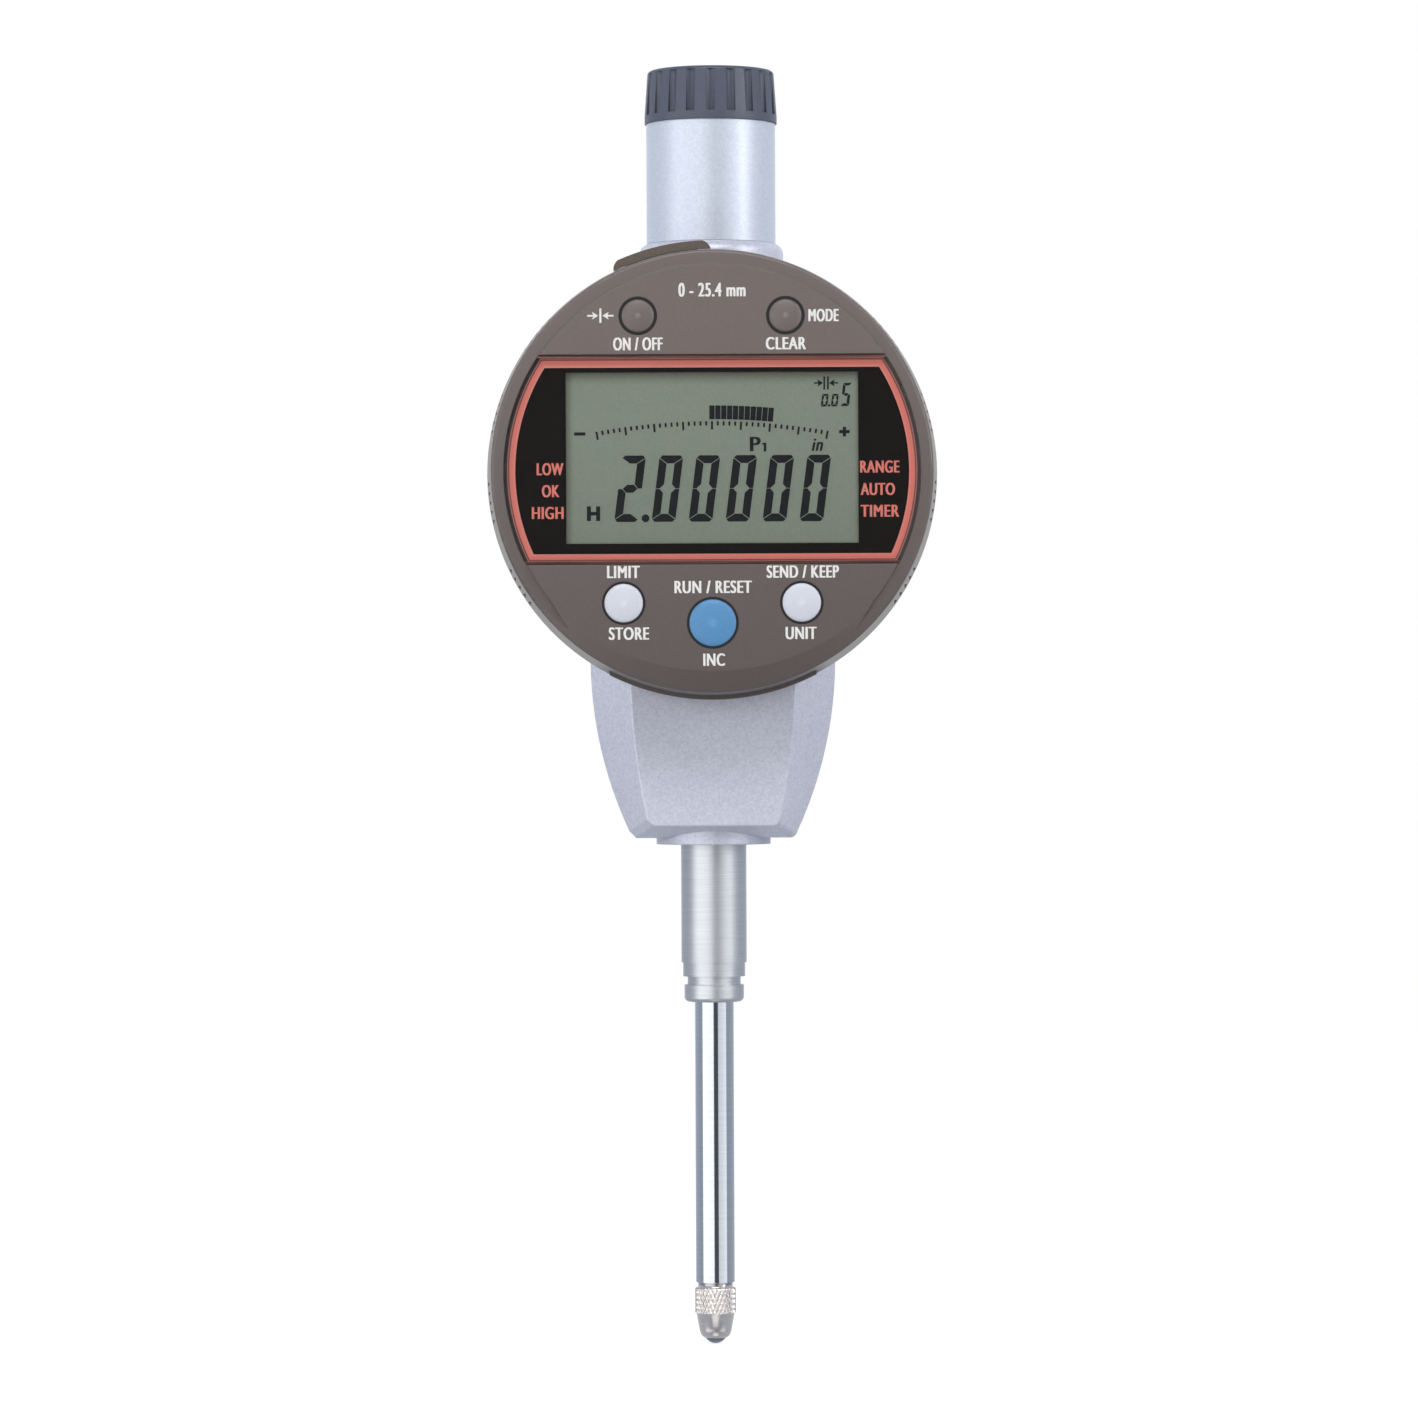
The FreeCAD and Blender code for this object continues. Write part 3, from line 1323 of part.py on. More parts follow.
def upright_axis(sketch, across, length):
    """A construction line up the sketch at a place across it, for a feature that turns about it."""
    index = sketch.GeometryCount
    sketch.addGeometry(
        Part.LineSegment(Vector(across.number, 0, 0), Vector(across.number, length.number, 0)), True)
    sketch.addConstraint([
        Sketcher.Constraint("Vertical", index),
        Sketcher.Constraint("PointOnObject", index, 1, -1),
    ])
    tie(sketch, [
        (Sketcher.Constraint("DistanceX", -1, 1, index, 1, across.number), across),
        (Sketcher.Constraint("DistanceY", -1, 1, index, 2, length.number), length),
    ])
    return "Axis0"


def make_cover_seal():
    """The flat rubber ring between rear cover and bezel."""
    inner = BEZEL_INSIDE + size.turn_gap
    outer = COVER_EDGE - size.turn_gap
    seal = turned("cover_seal", ring_path(
        inner, outer, BEZEL_END - size.seal_thickness + size.seat_gap, BEZEL_END - size.seat_gap))
    stand_up(seal)


# Window, mask and liquid crystal panel


def make_window():
    """The clear window with bevelled edges, and the printed films behind it."""
    lens = body_of("window_lens")
    stand_up(lens)
    fit = size.turn_gap
    sketch = sketch_on(lens, "XY_Plane", LENS_BACK)
    draw(sketch, full_window(WINDOW - fit, WINDOW_TOP - fit, WINDOW_LOW - fit))
    pad(lens, sketch, size.lens_thickness)
    bevel = sketch_on(lens, "YZ_Plane", -WINDOW)
    for side, edge in ((1, WINDOW_TOP - fit), (-1, WINDOW_LOW - fit)):
        draw(bevel, [
            (side * edge, LENS_FRONT - size.lens_bevel),
            (side * (edge + size.lens_bevel), LENS_FRONT - size.lens_bevel),
            (side * (edge + size.lens_bevel), LENS_FRONT + size.lens_bevel),
            (side * (edge - size.lens_bevel), LENS_FRONT + size.lens_bevel),
            (side * (edge - size.lens_bevel), LENS_FRONT),
        ])
    pocket(lens, bevel, WINDOW * 2, reverse=True)

    band = body_of("colour_band")
    stand_up(band)
    sketch = sketch_on(band, "XY_Plane", FILM_BACK)
    inside = BAND - size.band_width
    inside_top, inside_low = BAND_TOP - size.band_top_width, BAND_LOW - size.band_low_width
    draw(sketch, full_window(BAND, BAND_TOP, BAND_LOW))
    draw(sketch, full_window(inside, inside_top, inside_low))
    pad(band, sketch, size.film_thickness)

    mask = body_of("window_mask")
    stand_up(mask)
    gap = size.seat_gap
    sketch = sketch_on(mask, "XY_Plane", FILM_BACK)
    draw(sketch, full_window(inside - gap, inside_top - gap, inside_low - gap))
    margin = size.reading_margin
    draw(sketch, [
        (-GLASS_SIDE + margin, -GLASS_LOW + margin),
        (GLASS_SIDE - margin, -GLASS_LOW + margin),
        (GLASS_SIDE - margin, GLASS_TOP - margin),
        (-GLASS_SIDE + margin, GLASS_TOP - margin),
    ])
    pad(mask, sketch, size.film_thickness)


def full_window(radius, top, low):
    """The window's outline with both of its arcs, each in two halves."""
    across_top, across_low = leg(radius, top), leg(radius, low)
    return [
        (-across_low, -low, radius, 1),
        (across_low, -low),
        (radius, 0, radius, 1),
        (across_top, top, radius, 1),
        (-across_top, top),
        (-radius, 0, radius, 1),
    ]


def in_display(name, left, right, low, high, rear, front):
    """A box in the display: low and high from its centre, rear and front as depths."""
    return block(name, left, right, -front, -rear, DIAL + low, DIAL + high)


def make_panel():
    """The liquid crystal panel in its frame, on two rubber contact strips."""
    wide = GLASS_SIDE
    keep(in_display("lcd_panel", -wide, wide, -GLASS_LOW, GLASS_TOP, GLASS_BACK, GLASS_FRONT), "lcd_panel")
    frame = body_of("lcd_frame")
    stand_up(frame)
    sketch = sketch_on(frame, "XY_Plane", BOARD_FRONT + size.seat_gap)
    wall = size.holder_wall
    corner = size.holder_corner
    outer, low, high = HOLDER_SIDE, GLASS_LOW + wall, GLASS_TOP + wall
    draw(sketch, [
        (-outer + corner, -low, corner, 1),
        (outer - corner, -low),
        (outer, -low + corner, corner, 1),
        (outer, high - corner),
        (outer - corner, high, corner, 1),
        (-outer + corner, high),
        (-outer, high - corner, corner, 1),
        (-outer, -low + corner),
    ])
    gap = size.turn_gap
    draw(sketch, [
        (-wide - gap, -GLASS_LOW - gap),
        (wide + gap, -GLASS_LOW - gap),
        (wide + gap, GLASS_TOP + gap),
        (-wide - gap, GLASS_TOP + gap),
    ])
    pad(frame, sketch, GLASS_FRONT - BOARD_FRONT - size.clear_gap)
    strips = []
    reach = wide - size.strip_inset
    for low, high in ((-GLASS_LOW, -GLASS_LOW + size.strip_depth),
                      (GLASS_TOP - size.strip_depth, GLASS_TOP)):
        strips.append(in_display("strip", -reach, reach, low, high,
                                 BOARD_FRONT + size.seat_gap, GLASS_BACK - size.seat_gap))
    keep(fused("contact_strips", strips), "contact_strips")


def make_main_board():
    """The round main board, notched round the bezel's posts."""
    disc = rod("board_disc", "Y", (0, DIAL), -BOARD_FRONT, -BOARD_REAR, BOARD_EDGE)
    notches = [rod("board_notch", "Y", place, -BOARD_FRONT - 1, -BOARD_REAR + 1,
                   size.boss_post_radius + size.clear_gap) for place in display_screw_places()]
    keep(cut("main_board", disc, notches), "main_board")


# Keys


def key_places():
    """Name, place from the display's centre, radius and ring gap of each key."""
    return [
        ("power_key", -size.dark_key_across, DARK_KEY_UP, size.dark_key_radius, size.dark_key_gap),
        ("menu_key", size.dark_key_across, DARK_KEY_UP, size.dark_key_radius, size.dark_key_gap),
        ("preset_key", -size.light_key_across, -LIGHT_KEY_DOWN, size.light_key_radius, size.key_gap),
        ("hold_key", size.light_key_across, -LIGHT_KEY_DOWN, size.light_key_radius, size.key_gap),
        ("zero_key", amount(0), -ZERO_KEY_DOWN, size.zero_key_radius, size.key_gap),
    ]


def make_keys():
    """Five round keys with domed tops, a flange behind the face and a short stem."""
    for label, across, up, radius, gap in key_places():
        flange = radius + size.key_flange
        key = turned(label, [
            (0, KEY_END),
            (size.key_stem_radius, KEY_END),
            (size.key_stem_radius, KEY_FLANGE_LOW),
            (flange, KEY_FLANGE_LOW),
            (flange, KEY_FLANGE_TOP),
            (radius, KEY_FLANGE_TOP),
            (radius, KEY_TOP - size.key_dome),
            (0, KEY_TOP, dome_radius(radius, size.key_dome), 1),
        ])
        stand_up(key, across, up)


def dome_radius(radius, rise):
    """Radius of the sphere whose cap has a given foot radius and rise."""
    return (radius * radius + rise * rise) / (2 * rise)


def make_key_pads():
    """The two rubber contact sheets on the main board, one under each row of keys."""
    margin = size.pad_margin
    upper = size.dark_key_across + size.key_stem_radius + margin
    lower = size.light_key_across + size.key_stem_radius + margin
    rear, front = BOARD_FRONT + size.seat_gap, PAD_TOP
    keep(in_display("upper_key_pad", -upper, upper, DARK_KEY_UP - margin * 2,
                    DARK_KEY_UP + margin * 2, rear, front), "upper_key_pad")
    keep(in_display("lower_key_pad", -lower, lower, -ZERO_KEY_DOWN - margin * 2,
                    -LIGHT_KEY_DOWN + margin * 2, rear, front), "lower_key_pad")


# Battery


def make_battery():
    """The battery tray that slides out below, its coin cell, and the springs that touch the cell."""
    tray = body_of("battery_tray")
    stand_up(tray)
    sketch = sketch_on(tray, "XY_Plane", TRAY_REAR)
    frame, wide, far = size.tray_frame, size.tray_half_width, TRAY_EDGE
    seat = FRONT_INSIDE - size.clear_gap
    shoulder = -leg(seat, wide)
    draw(sketch, [
        (-frame, -CELL_DROP),
        (-frame, shoulder),
        (-wide, shoulder),
        (-wide, -leg(far, wide)),
        (0, -far, far, 1),
        (wide, -leg(far, wide), far, 1),
        (wide, shoulder),
        (frame, shoulder),
        (frame, -CELL_DROP),
        (frame - size.holder_corner * 3, size.cell_radius - CELL_DROP + size.tray_lip),
        (-frame + size.holder_corner * 3, size.cell_radius - CELL_DROP + size.tray_lip),
    ])
    pad(tray, sketch, size.tray_thickness)
    seat_hole = sketch_on(tray, "XY_Plane", TRAY_FRONT)
    circle(seat_hole, 0, -CELL_DROP, size.cell_radius + size.turn_gap * 3)
    pocket(tray, seat_hole, size.tray_thickness - size.tray_floor)
    nail_slot = sketch_on(tray, "XY_Plane", TRAY_FRONT - size.tray_thickness / 3)
    draw(nail_slot, [
        (-size.nail_slot_width / 2, -far - size.nail_slot_depth),
        (size.nail_slot_width / 2, -far - size.nail_slot_depth),
        (size.nail_slot_width / 2, -far + size.nail_slot_depth),
        (-size.nail_slot_width / 2, -far + size.nail_slot_depth),
    ])
    pocket(tray, nail_slot, size.tray_thickness / 3)
    bottom = TRAY_REAR + size.tray_floor + size.seat_gap
    cell = turned("coin_cell", [
        (0, bottom),
        (size.cell_radius, bottom),
        (size.cell_radius, bottom + size.cell_height - size.edge_break),
        (size.cell_radius - size.edge_break, bottom + size.cell_height - size.seat_gap),
        (0, bottom + size.cell_height - size.seat_gap),
    ])
    stand_up(cell, 0, -CELL_DROP)
    leaves = []
    gap = BOARD_REAR - TRAY_FRONT
    half = size.leaf_half_width
    for side in (-1, 1):
        middle = side * size.cell_radius / 2
        leaves.append(in_display(
            "leaf", middle - half, middle + half,
            -CELL_DROP - size.cell_radius / 2, -CELL_DROP + size.cell_radius / 2,
            BOARD_REAR - gap / 2, BOARD_REAR - size.seat_gap))
    keep(fused("battery_springs", leaves), "battery_springs")


# Data port


def make_port():
    """The port's cover, bored to the bezel's cone, with its plug, and the socket inside the wall."""
    cover = body_of("port_cover")
    stand_up(cover, turned=size.port_angle.number)
    gap = size.turn_gap
    inner = BEZEL_FRONT + gap
    outer = PORT_OUTSIDE
    sketch = sketch_on(cover, "XY_Plane", PORT_LOW)
    half = size.port_half_angle
    short = half - size.port_round_angle
    end = outer - inner
    draw(sketch, [
        (inner * sine(half), inner * cosine(half), inner, -1),
        (outer * sine(short), outer * cosine(short), end, 1),
        (0, outer, outer, 1),
        (-outer * sine(short), outer * cosine(short), outer, 1),
        (-inner * sine(half), inner * cosine(half), end, 1),
        (0, inner, inner, -1),
    ])
    pad(cover, sketch, size.port_cover_height)
    seat = sketch_on(cover, "XZ_Plane")
    slope = size.bezel_taper / (RIM - size.bezel_round - BEZEL_END - size.bezel_widest)
    rear_radius = size.bezel_radius + gap - (PORT_LOW - BEZEL_END - size.bezel_widest) * slope
    front_radius = rear_radius - size.port_cover_height * slope
    draw(seat, [
        (inner - size.drum_wall, PORT_LOW),
        (rear_radius, PORT_LOW),
        (front_radius, PORT_LOW + size.port_cover_height),
        (inner - size.drum_wall, PORT_LOW + size.port_cover_height),
    ])
    spin(cover, seat, "Groove")
    inner = size.bezel_radius + gap
    plug = sketch_on(cover, "XY_Plane", SOCKET_LOW + gap)
    wide = size.port_half_width - gap
    draw(plug, [
        (-wide, inner - size.port_plug_length),
        (wide, inner - size.port_plug_length),
        (wide, inner),
        (-wide, inner),
    ])
    pad(cover, plug, size.port_height - gap * 2)
    socket = body_of("port_socket")
    stand_up(socket, turned=size.port_angle.number)
    top = FRONT_INSIDE - size.clear_gap
    sketch = sketch_on(socket, "XY_Plane", SOCKET_LOW)
    draw(sketch, [
        (-size.port_half_width, top - size.socket_depth),
        (size.port_half_width, top - size.socket_depth),
        (size.port_half_width, top),
        (-size.port_half_width, top),
    ])
    pad(socket, sketch, BOARD_REAR - size.seat_gap - SOCKET_LOW)
    mouth = sketch_on(socket, "XZ_Plane", -top)
    wall = size.socket_wall
    low, high = SOCKET_LOW + wall / 2, SOCKET_LOW + size.port_height - wall / 2
    draw(mouth, [
        (-size.port_half_width + wall, low),
        (size.port_half_width - wall, low),
        (size.port_half_width - wall, high),
        (-size.port_half_width + wall, high),
    ])
    pocket(socket, mouth, size.socket_depth - wall, reverse=True)


make_contact_ball()
make_contact_point()
make_spindle()
make_stem()
make_bushes()
make_bumper()
make_main_case()
make_back_cover()
make_top_tube()
make_top_cap()
make_cap_seal()
make_scale_carrier()
make_encoder()
make_guide()
make_return_spring()
make_guide_bracket()
make_ribbon()
make_hub()
make_hub_rings()
make_display_rear_cover()
make_bezel()
make_cover_seal()
make_window()
make_panel()
make_main_board()
make_keys()
make_key_pads()
make_battery()
make_port()
doc.recompute()

for thing in doc.Objects:
    if "Invalid" in thing.State or "Error" in thing.State:
        raise RuntimeError(f"{thing.Name} did not build: {thing.State}")
    if thing.TypeId in ("PartDesign::Pocket", "PartDesign::Groove"):
        if thing.Shape.Volume > thing.BaseFeature.Shape.Volume - 1e-4:
            raise RuntimeError(f"{thing.Name} cuts nothing")
for label, thing in nodes.items():
    if thing.Shape.isNull() or not thing.Shape.isValid():
        raise RuntimeError(f"{label} has no sound shape")

os.makedirs("parts", exist_ok=True)
for label, thing in nodes.items():
    thing.Shape.exportStep(f"parts/{label}.step")
    print(f"{label}: {len(thing.Shape.Solids)} solids, {thing.Shape.Volume:.1f} mm3")
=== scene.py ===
import math

import bmesh
import bpy
from mathutils import Matrix, Vector


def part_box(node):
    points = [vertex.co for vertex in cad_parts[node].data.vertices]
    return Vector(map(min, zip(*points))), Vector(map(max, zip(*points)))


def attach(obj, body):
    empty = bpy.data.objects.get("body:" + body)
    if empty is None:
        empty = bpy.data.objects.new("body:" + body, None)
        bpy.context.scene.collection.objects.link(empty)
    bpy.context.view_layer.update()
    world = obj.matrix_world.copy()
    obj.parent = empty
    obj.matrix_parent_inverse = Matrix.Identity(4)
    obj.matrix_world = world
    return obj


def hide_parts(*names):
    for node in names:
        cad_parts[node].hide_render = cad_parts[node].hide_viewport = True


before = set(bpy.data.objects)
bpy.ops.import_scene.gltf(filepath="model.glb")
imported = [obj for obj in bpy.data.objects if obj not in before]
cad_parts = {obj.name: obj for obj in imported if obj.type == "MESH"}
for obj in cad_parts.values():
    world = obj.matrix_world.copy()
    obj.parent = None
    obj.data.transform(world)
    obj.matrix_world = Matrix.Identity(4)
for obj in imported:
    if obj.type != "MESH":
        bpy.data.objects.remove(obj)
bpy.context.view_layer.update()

# The room. White paper runs under the indicator, and behind it the room shows white. Two large soft boxes
# stand in front, left and right of the camera, and a narrow lamp hangs high on the right. It is dark round
# the camera.

MM = 0.001
PAPER_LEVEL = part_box("contact_ball")[0].z
PAPER_RADIUS = 12.0
PAPER_SHADOW = 0.34        # how far the deepest shadow may darken the paper
PAPER_FADE = (0.25, 0.75)  # the shadow's part of the paper fades out between these distances, in metres
ROOM_TINT = "#dfe8f6"      # the room beside the object is a cool grey
ROOM_LEVELS = (0.13, 0.58, 0.7)  # what metal sees at the camera, beside itself and behind itself
PAPER_FIBRES = 900.0       # to the metre

# Where the room turns from one level to the next; -1 is the camera's side, 1 is straight behind the object
FRONT_FADE = (-0.95, -0.35)
BACK_FADE = (0.1, 0.8)
BACKGROUND_FADE = (0.8, 0.97)


def linear(code):
    """An sRGB hex colour as the linear colour that a shader takes."""
    parts = [int(code[i:i + 2], 16) / 255 for i in (1, 3, 5)]
    return [p / 12.92 if p <= 0.04045 else ((p + 0.055) / 1.055) ** 2.4 for p in parts] + [1.0]


def add(tree, kind, inputs=None, **settings):
    """Adds a node; inputs maps a socket's name or number to a value or to another node's output."""
    made = tree.nodes.new("ShaderNode" + kind)
    for name, value in settings.items():
        setattr(made, name, value)
    for name, value in (inputs or {}).items():
        if isinstance(value, bpy.types.NodeSocket):
            tree.links.new(value, made.inputs[name])
        else:
            made.inputs[name].default_value = value
    return made


def straight_ray(tree):
    """1 for a ray from the camera, also after it went through glass, and otherwise 0."""
    path = add(tree, "LightPath").outputs
    return add(tree, "Math", {0: path["Is Camera Ray"], 1: path["Is Transmission Ray"]},
               operation="MAXIMUM").outputs[0]


def make_room():
    world = bpy.data.worlds.new("grey_studio_with_white_paper")
    bpy.context.scene.world = world
    world.use_nodes = True
    tree = world.node_tree
    toward = add(tree, "SeparateXYZ", {0: add(tree, "TexCoord").outputs["Generated"]}).outputs["Y"]
    front, beside, behind = ROOM_LEVELS
    near = add(tree, "MapRange", {0: toward, 1: FRONT_FADE[0], 2: FRONT_FADE[1],
                                  3: front, 4: beside}).outputs[0]
    level = add(tree, "MapRange", {0: toward, 1: BACK_FADE[0], 2: BACK_FADE[1],
                                   3: near, 4: behind}).outputs[0]
    # Metal and gloss mirror the white background where it stands straight behind the object
    back = add(tree, "MapRange", {0: toward, 1: BACKGROUND_FADE[0], 2: BACKGROUND_FADE[1]}).outputs[0]
    glossy = add(tree, "LightPath").outputs["Is Glossy Ray"]
    mirrored = add(tree, "Math", {0: glossy, 1: back}, operation="MULTIPLY").outputs[0]
    seen = add(tree, "Math", {0: straight_ray(tree), 1: mirrored}, operation="MAXIMUM").outputs[0]
    strength = add(tree, "Mix", {0: seen, 2: level, 3: 1.0}).outputs[0]
    colour = add(tree, "Mix", {0: seen, 6: linear(ROOM_TINT), 7: (1, 1, 1, 1)}, data_type="RGBA")
    tree.links.new(strength, tree.nodes["Background"].inputs["Strength"])
    tree.links.new(colour.outputs[2], tree.nodes["Background"].inputs["Color"])


def make_paper():
    bpy.ops.mesh.primitive_circle_add(vertices=96, radius=PAPER_RADIUS, fill_type="NGON",
                                      location=(0, 0, PAPER_LEVEL - 0.02 * MM))
    paper = bpy.context.object
    paper.name = "paper"
    paper.visible_glossy = False   # metal sees the room and the lamps past the paper's front edge
    paper.visible_shadow = False
    white = bpy.data.materials.new("uncoated_white_paper")
    white.use_nodes = True
    tree = white.node_tree
    tree.nodes.remove(tree.nodes["Principled BSDF"])
    seen = straight_ray(tree)
    fibre = add(tree, "TexNoise", {0: add(tree, "TexCoord").outputs["Object"], "Scale": PAPER_FIBRES})
    tone = add(tree, "MapRange", {0: fibre.outputs[0], 3: PAPER_SHADOW * 0.98, 4: PAPER_SHADOW}).outputs[0]
    matt = add(tree, "BsdfDiffuse", {"Color": tone})
    glow = add(tree, "Emission", {"Strength": 1.0})
    lift = add(tree, "Math", {0: seen, 1: 1.0 - PAPER_SHADOW * 0.9}, operation="MULTIPLY").outputs[0]
    haze = add(tree, "Emission", {"Strength": lift})
    near = add(tree, "AddShader", {0: matt.outputs[0], 1: haze.outputs[0]})
    reach = add(tree, "VectorMath", {0: add(tree, "TexCoord").outputs["Object"]}, operation="LENGTH")
    far = add(tree, "MapRange", {0: reach.outputs["Value"], 1: PAPER_FADE[0], 2: PAPER_FADE[1]}).outputs[0]
    away = add(tree, "Math", {0: far, 1: seen}, operation="MULTIPLY").outputs[0]
    sheet = add(tree, "MixShader", {0: away, 1: near.outputs[0], 2: glow.outputs[0]})
    tree.links.new(sheet.outputs[0], tree.nodes["Material Output"].inputs[0])
    paper.data.materials.append(white)


def lamp(name, azimuth, elevation, distance, width, height, power, shines=True):
    """A soft box that looks at the display; azimuth 0 is the camera's side, and 90 is on the right."""
    light = bpy.data.lights.new(name, "AREA")
    light.shape = "RECTANGLE"
    light.size = width
    light.size_y = height
    light.energy = power
    holder = bpy.data.objects.new(name, light)
    bpy.context.scene.collection.objects.link(holder)
    across, up = math.radians(azimuth), math.radians(elevation)
    way = Vector((math.sin(across) * math.cos(up), -math.cos(across) * math.cos(up), math.sin(up)))
    holder.location = way * distance
    holder.rotation_euler = way.to_track_quat("Z", "Y").to_euler()
    holder.visible_camera = False
    holder.visible_glossy = shines


def make_camera():
    """The camera stands level, 711 mm from the spindle, and leans by a quarter of a degree."""
    distance, height, aside, lean = 0.711, 0.02376, -0.0005, 0.24
    view_across = 173.8 * MM   # what the square frame takes in at the spindle's distance
    camera = bpy.data.cameras.new("camera")
    camera.sensor_width = 36.0
    camera.lens = camera.sensor_width * distance / view_across
    camera.clip_start = 0.01
    camera.clip_end = 50.0
    holder = bpy.data.objects.new("camera", camera)
    bpy.context.scene.collection.objects.link(holder)
    upright = Matrix.Rotation(math.radians(90), 4, "X")
    roll = Matrix.Rotation(math.radians(lean), 4, "Y")
    holder.matrix_world = Matrix.Translation((aside, -distance, height)) @ roll @ upright
    bpy.context.scene.camera = holder
    bpy.context.scene.view_settings.view_transform = "Standard"


make_room()
make_paper()
lamp("left_soft_box", -39.5, -5, 1.1, 1.5, 1.1, 7.9)
lamp("right_soft_box", 47, -5, 1.1, 1.05, 1.1, 3.2)
lamp("high_lamp", 60, 26, 1.0, 0.14, 0.5, 2.2)
lamp("low_front_box", 0, -58, 0.5, 0.24, 0.24, 0.13)
lamp("top_fill", 0, 43, 1.5, 0.9, 0.5, 9.5)
lamp("side_fill_left", -78, 15, 1.2, 0.6, 0.6, 5.0, shines=False)
lamp("side_fill_right", 78, 15, 1.2, 0.6, 0.6, 3.4, shines=False)
lamp("back_fill_left", -140, 25, 1.2, 0.9, 0.9, 6.0, shines=False)
lamp("back_fill_right", 140, 25, 1.2, 0.9, 0.9, 6.0, shines=False)
make_camera()

# Contact ball. A 3 mm ball of tungsten carbide, ground and lapped round, and set in the contact point.
# It is a dark, hard metal with a mirror finish.


def start(name, colour, roughness, **sockets):
    """A new material with one principled shader. A socket's name has _ for each space."""
    material = bpy.data.materials.new(name)
    material.use_nodes = True
    shader = material.node_tree.nodes["Principled BSDF"]
    shader.inputs["Base Color"].default_value = linear(colour)
    shader.inputs["Roughness"].default_value = roughness
    for socket, value in sockets.items():
        shader.inputs[socket.replace("_", " ")].default_value = value
    return material, material.node_tree, shader


def relief(tree, shader, height, depth, rounding=0.0):
    """Bump of so many mm. Sharp edges look rounded by so many mm, as moulds and paint leave them."""
    bump = add(tree, "Bump", {"Height": height, "Strength": 1.0, "Distance": depth * MM})
    if rounding:
        soft = add(tree, "Bevel", {"Radius": rounding * MM}, samples=6)
        tree.links.new(soft.outputs[0], bump.inputs["Normal"])
    tree.links.new(bump.outputs[0], shader.inputs["Normal"])


def marks(tree, shader, colours, spacing, depth, rounding=0.0):
    """Fine relief and tone. Spacing is the size of the marks along X, Y and Z in mm, depth is in mm."""
    place = add(tree, "TexCoord").outputs["Object"]
    scaled = add(tree, "Mapping", {"Vector": place, "Scale": [1 / (size * MM) for size in spacing]})
    noise = add(tree, "TexNoise", {"Vector": scaled.outputs[0], "Scale": 1.0, "Detail": 3.0}).outputs[0]
    spread = add(tree, "MapRange", {0: noise, 1: 0.3, 2: 0.7}).outputs[0]
    tone = add(tree, "Mix", {0: spread, 6: linear(colours[0]), 7: linear(colours[1])}, data_type="RGBA")
    tree.links.new(tone.outputs[2], shader.inputs["Base Color"])
    relief(tree, shader, noise, depth, rounding)


def dress(material, *names):
    """Gives the CAD nodes their finish."""
    for name in names:
        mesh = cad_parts[name].data
        mesh.materials.clear()
        mesh.materials.append(material)


carbide, tree, shader = start("lapped_tungsten_carbide", "#9a9ca1", 0.07, Metallic=1.0)
marks(tree, shader, ("#8f9196", "#a3a5aa"), (0.4, 0.4, 0.4), 0.0003)
dress(carbide, "contact_ball")

# Contact point. Hardened steel, turned with a cone and a nose round the ball. Two crossing rolls press
# the diamond knurl, so that fingers can screw it into the spindle. Nickel plate makes it a little warm.

KNURL_PITCH = 0.55         # mm round the point
KNURL_LIFT = 1.25          # mm along it
KNURL_DEPTH = 0.16         # mm
KNURL_RADIUS = 2.5         # mm
KNURL_FLAT = 0.35          # the part of the pitch that the rolls leave at full radius
KNURL_COUNT = round(2 * math.pi * KNURL_RADIUS / KNURL_PITCH)
KNURL_ROWS = 40
AROUND = KNURL_COUNT * 12
THREAD_LENGTH = 5.0        # mm
THREAD_RADIUS = 1.25       # mm
NECK_RADIUS = 2.15         # mm, under the spindle's end
KNURL_BAND = (-3.5, -0.55)  # mm from the spindle's end, where the knurled band starts and ends
CUP_RADIUS = 1.51          # mm, the hollow that holds the ball
BALL_RISE = 0.75           # mm from the point's lowest edge up to the ball's middle
NOSE = ((1.31, 0), (1.42, 0), (1.62, 0.14), (1.82, 0.42), (1.93, 0.74), (1.985, 0.95))  # radius, rise, mm


def lathe(name, profile, around, alter=None):
    """A turned mesh from (radius, level) corners in mm; alter changes a radius by angle and level."""
    mesh = bmesh.new()
    rings = []
    for radius, level in profile:
        if radius == 0:
            rings.append([mesh.verts.new((0, 0, level * MM))])
            continue
        ring = []
        for i in range(around):
            angle = 2 * math.pi * i / around
            reach = (alter(radius, angle, level) if alter else radius) * MM
            ring.append(mesh.verts.new((reach * math.cos(angle), reach * math.sin(angle), level * MM)))
        rings.append(ring)
    for low, high in zip(rings, rings[1:]):
        for i in range(around):
            j = (i + 1) % around
            corners = [low[i % len(low)], low[j % len(low)], high[j % len(high)], high[i % len(high)]]
            mesh.faces.new(list(dict.fromkeys(corners)))
    for face in mesh.faces:
        face.smooth = True
    bmesh.ops.recalc_face_normals(mesh, faces=mesh.faces)
    return put(name, mesh)


def put(name, mesh):
    """Turns an edited mesh into an object in the scene."""
    data = bpy.data.meshes.new(name)
    mesh.to_mesh(data)
    mesh.free()
    thing = bpy.data.objects.new(name, data)
    bpy.context.scene.collection.objects.link(thing)
    return thing


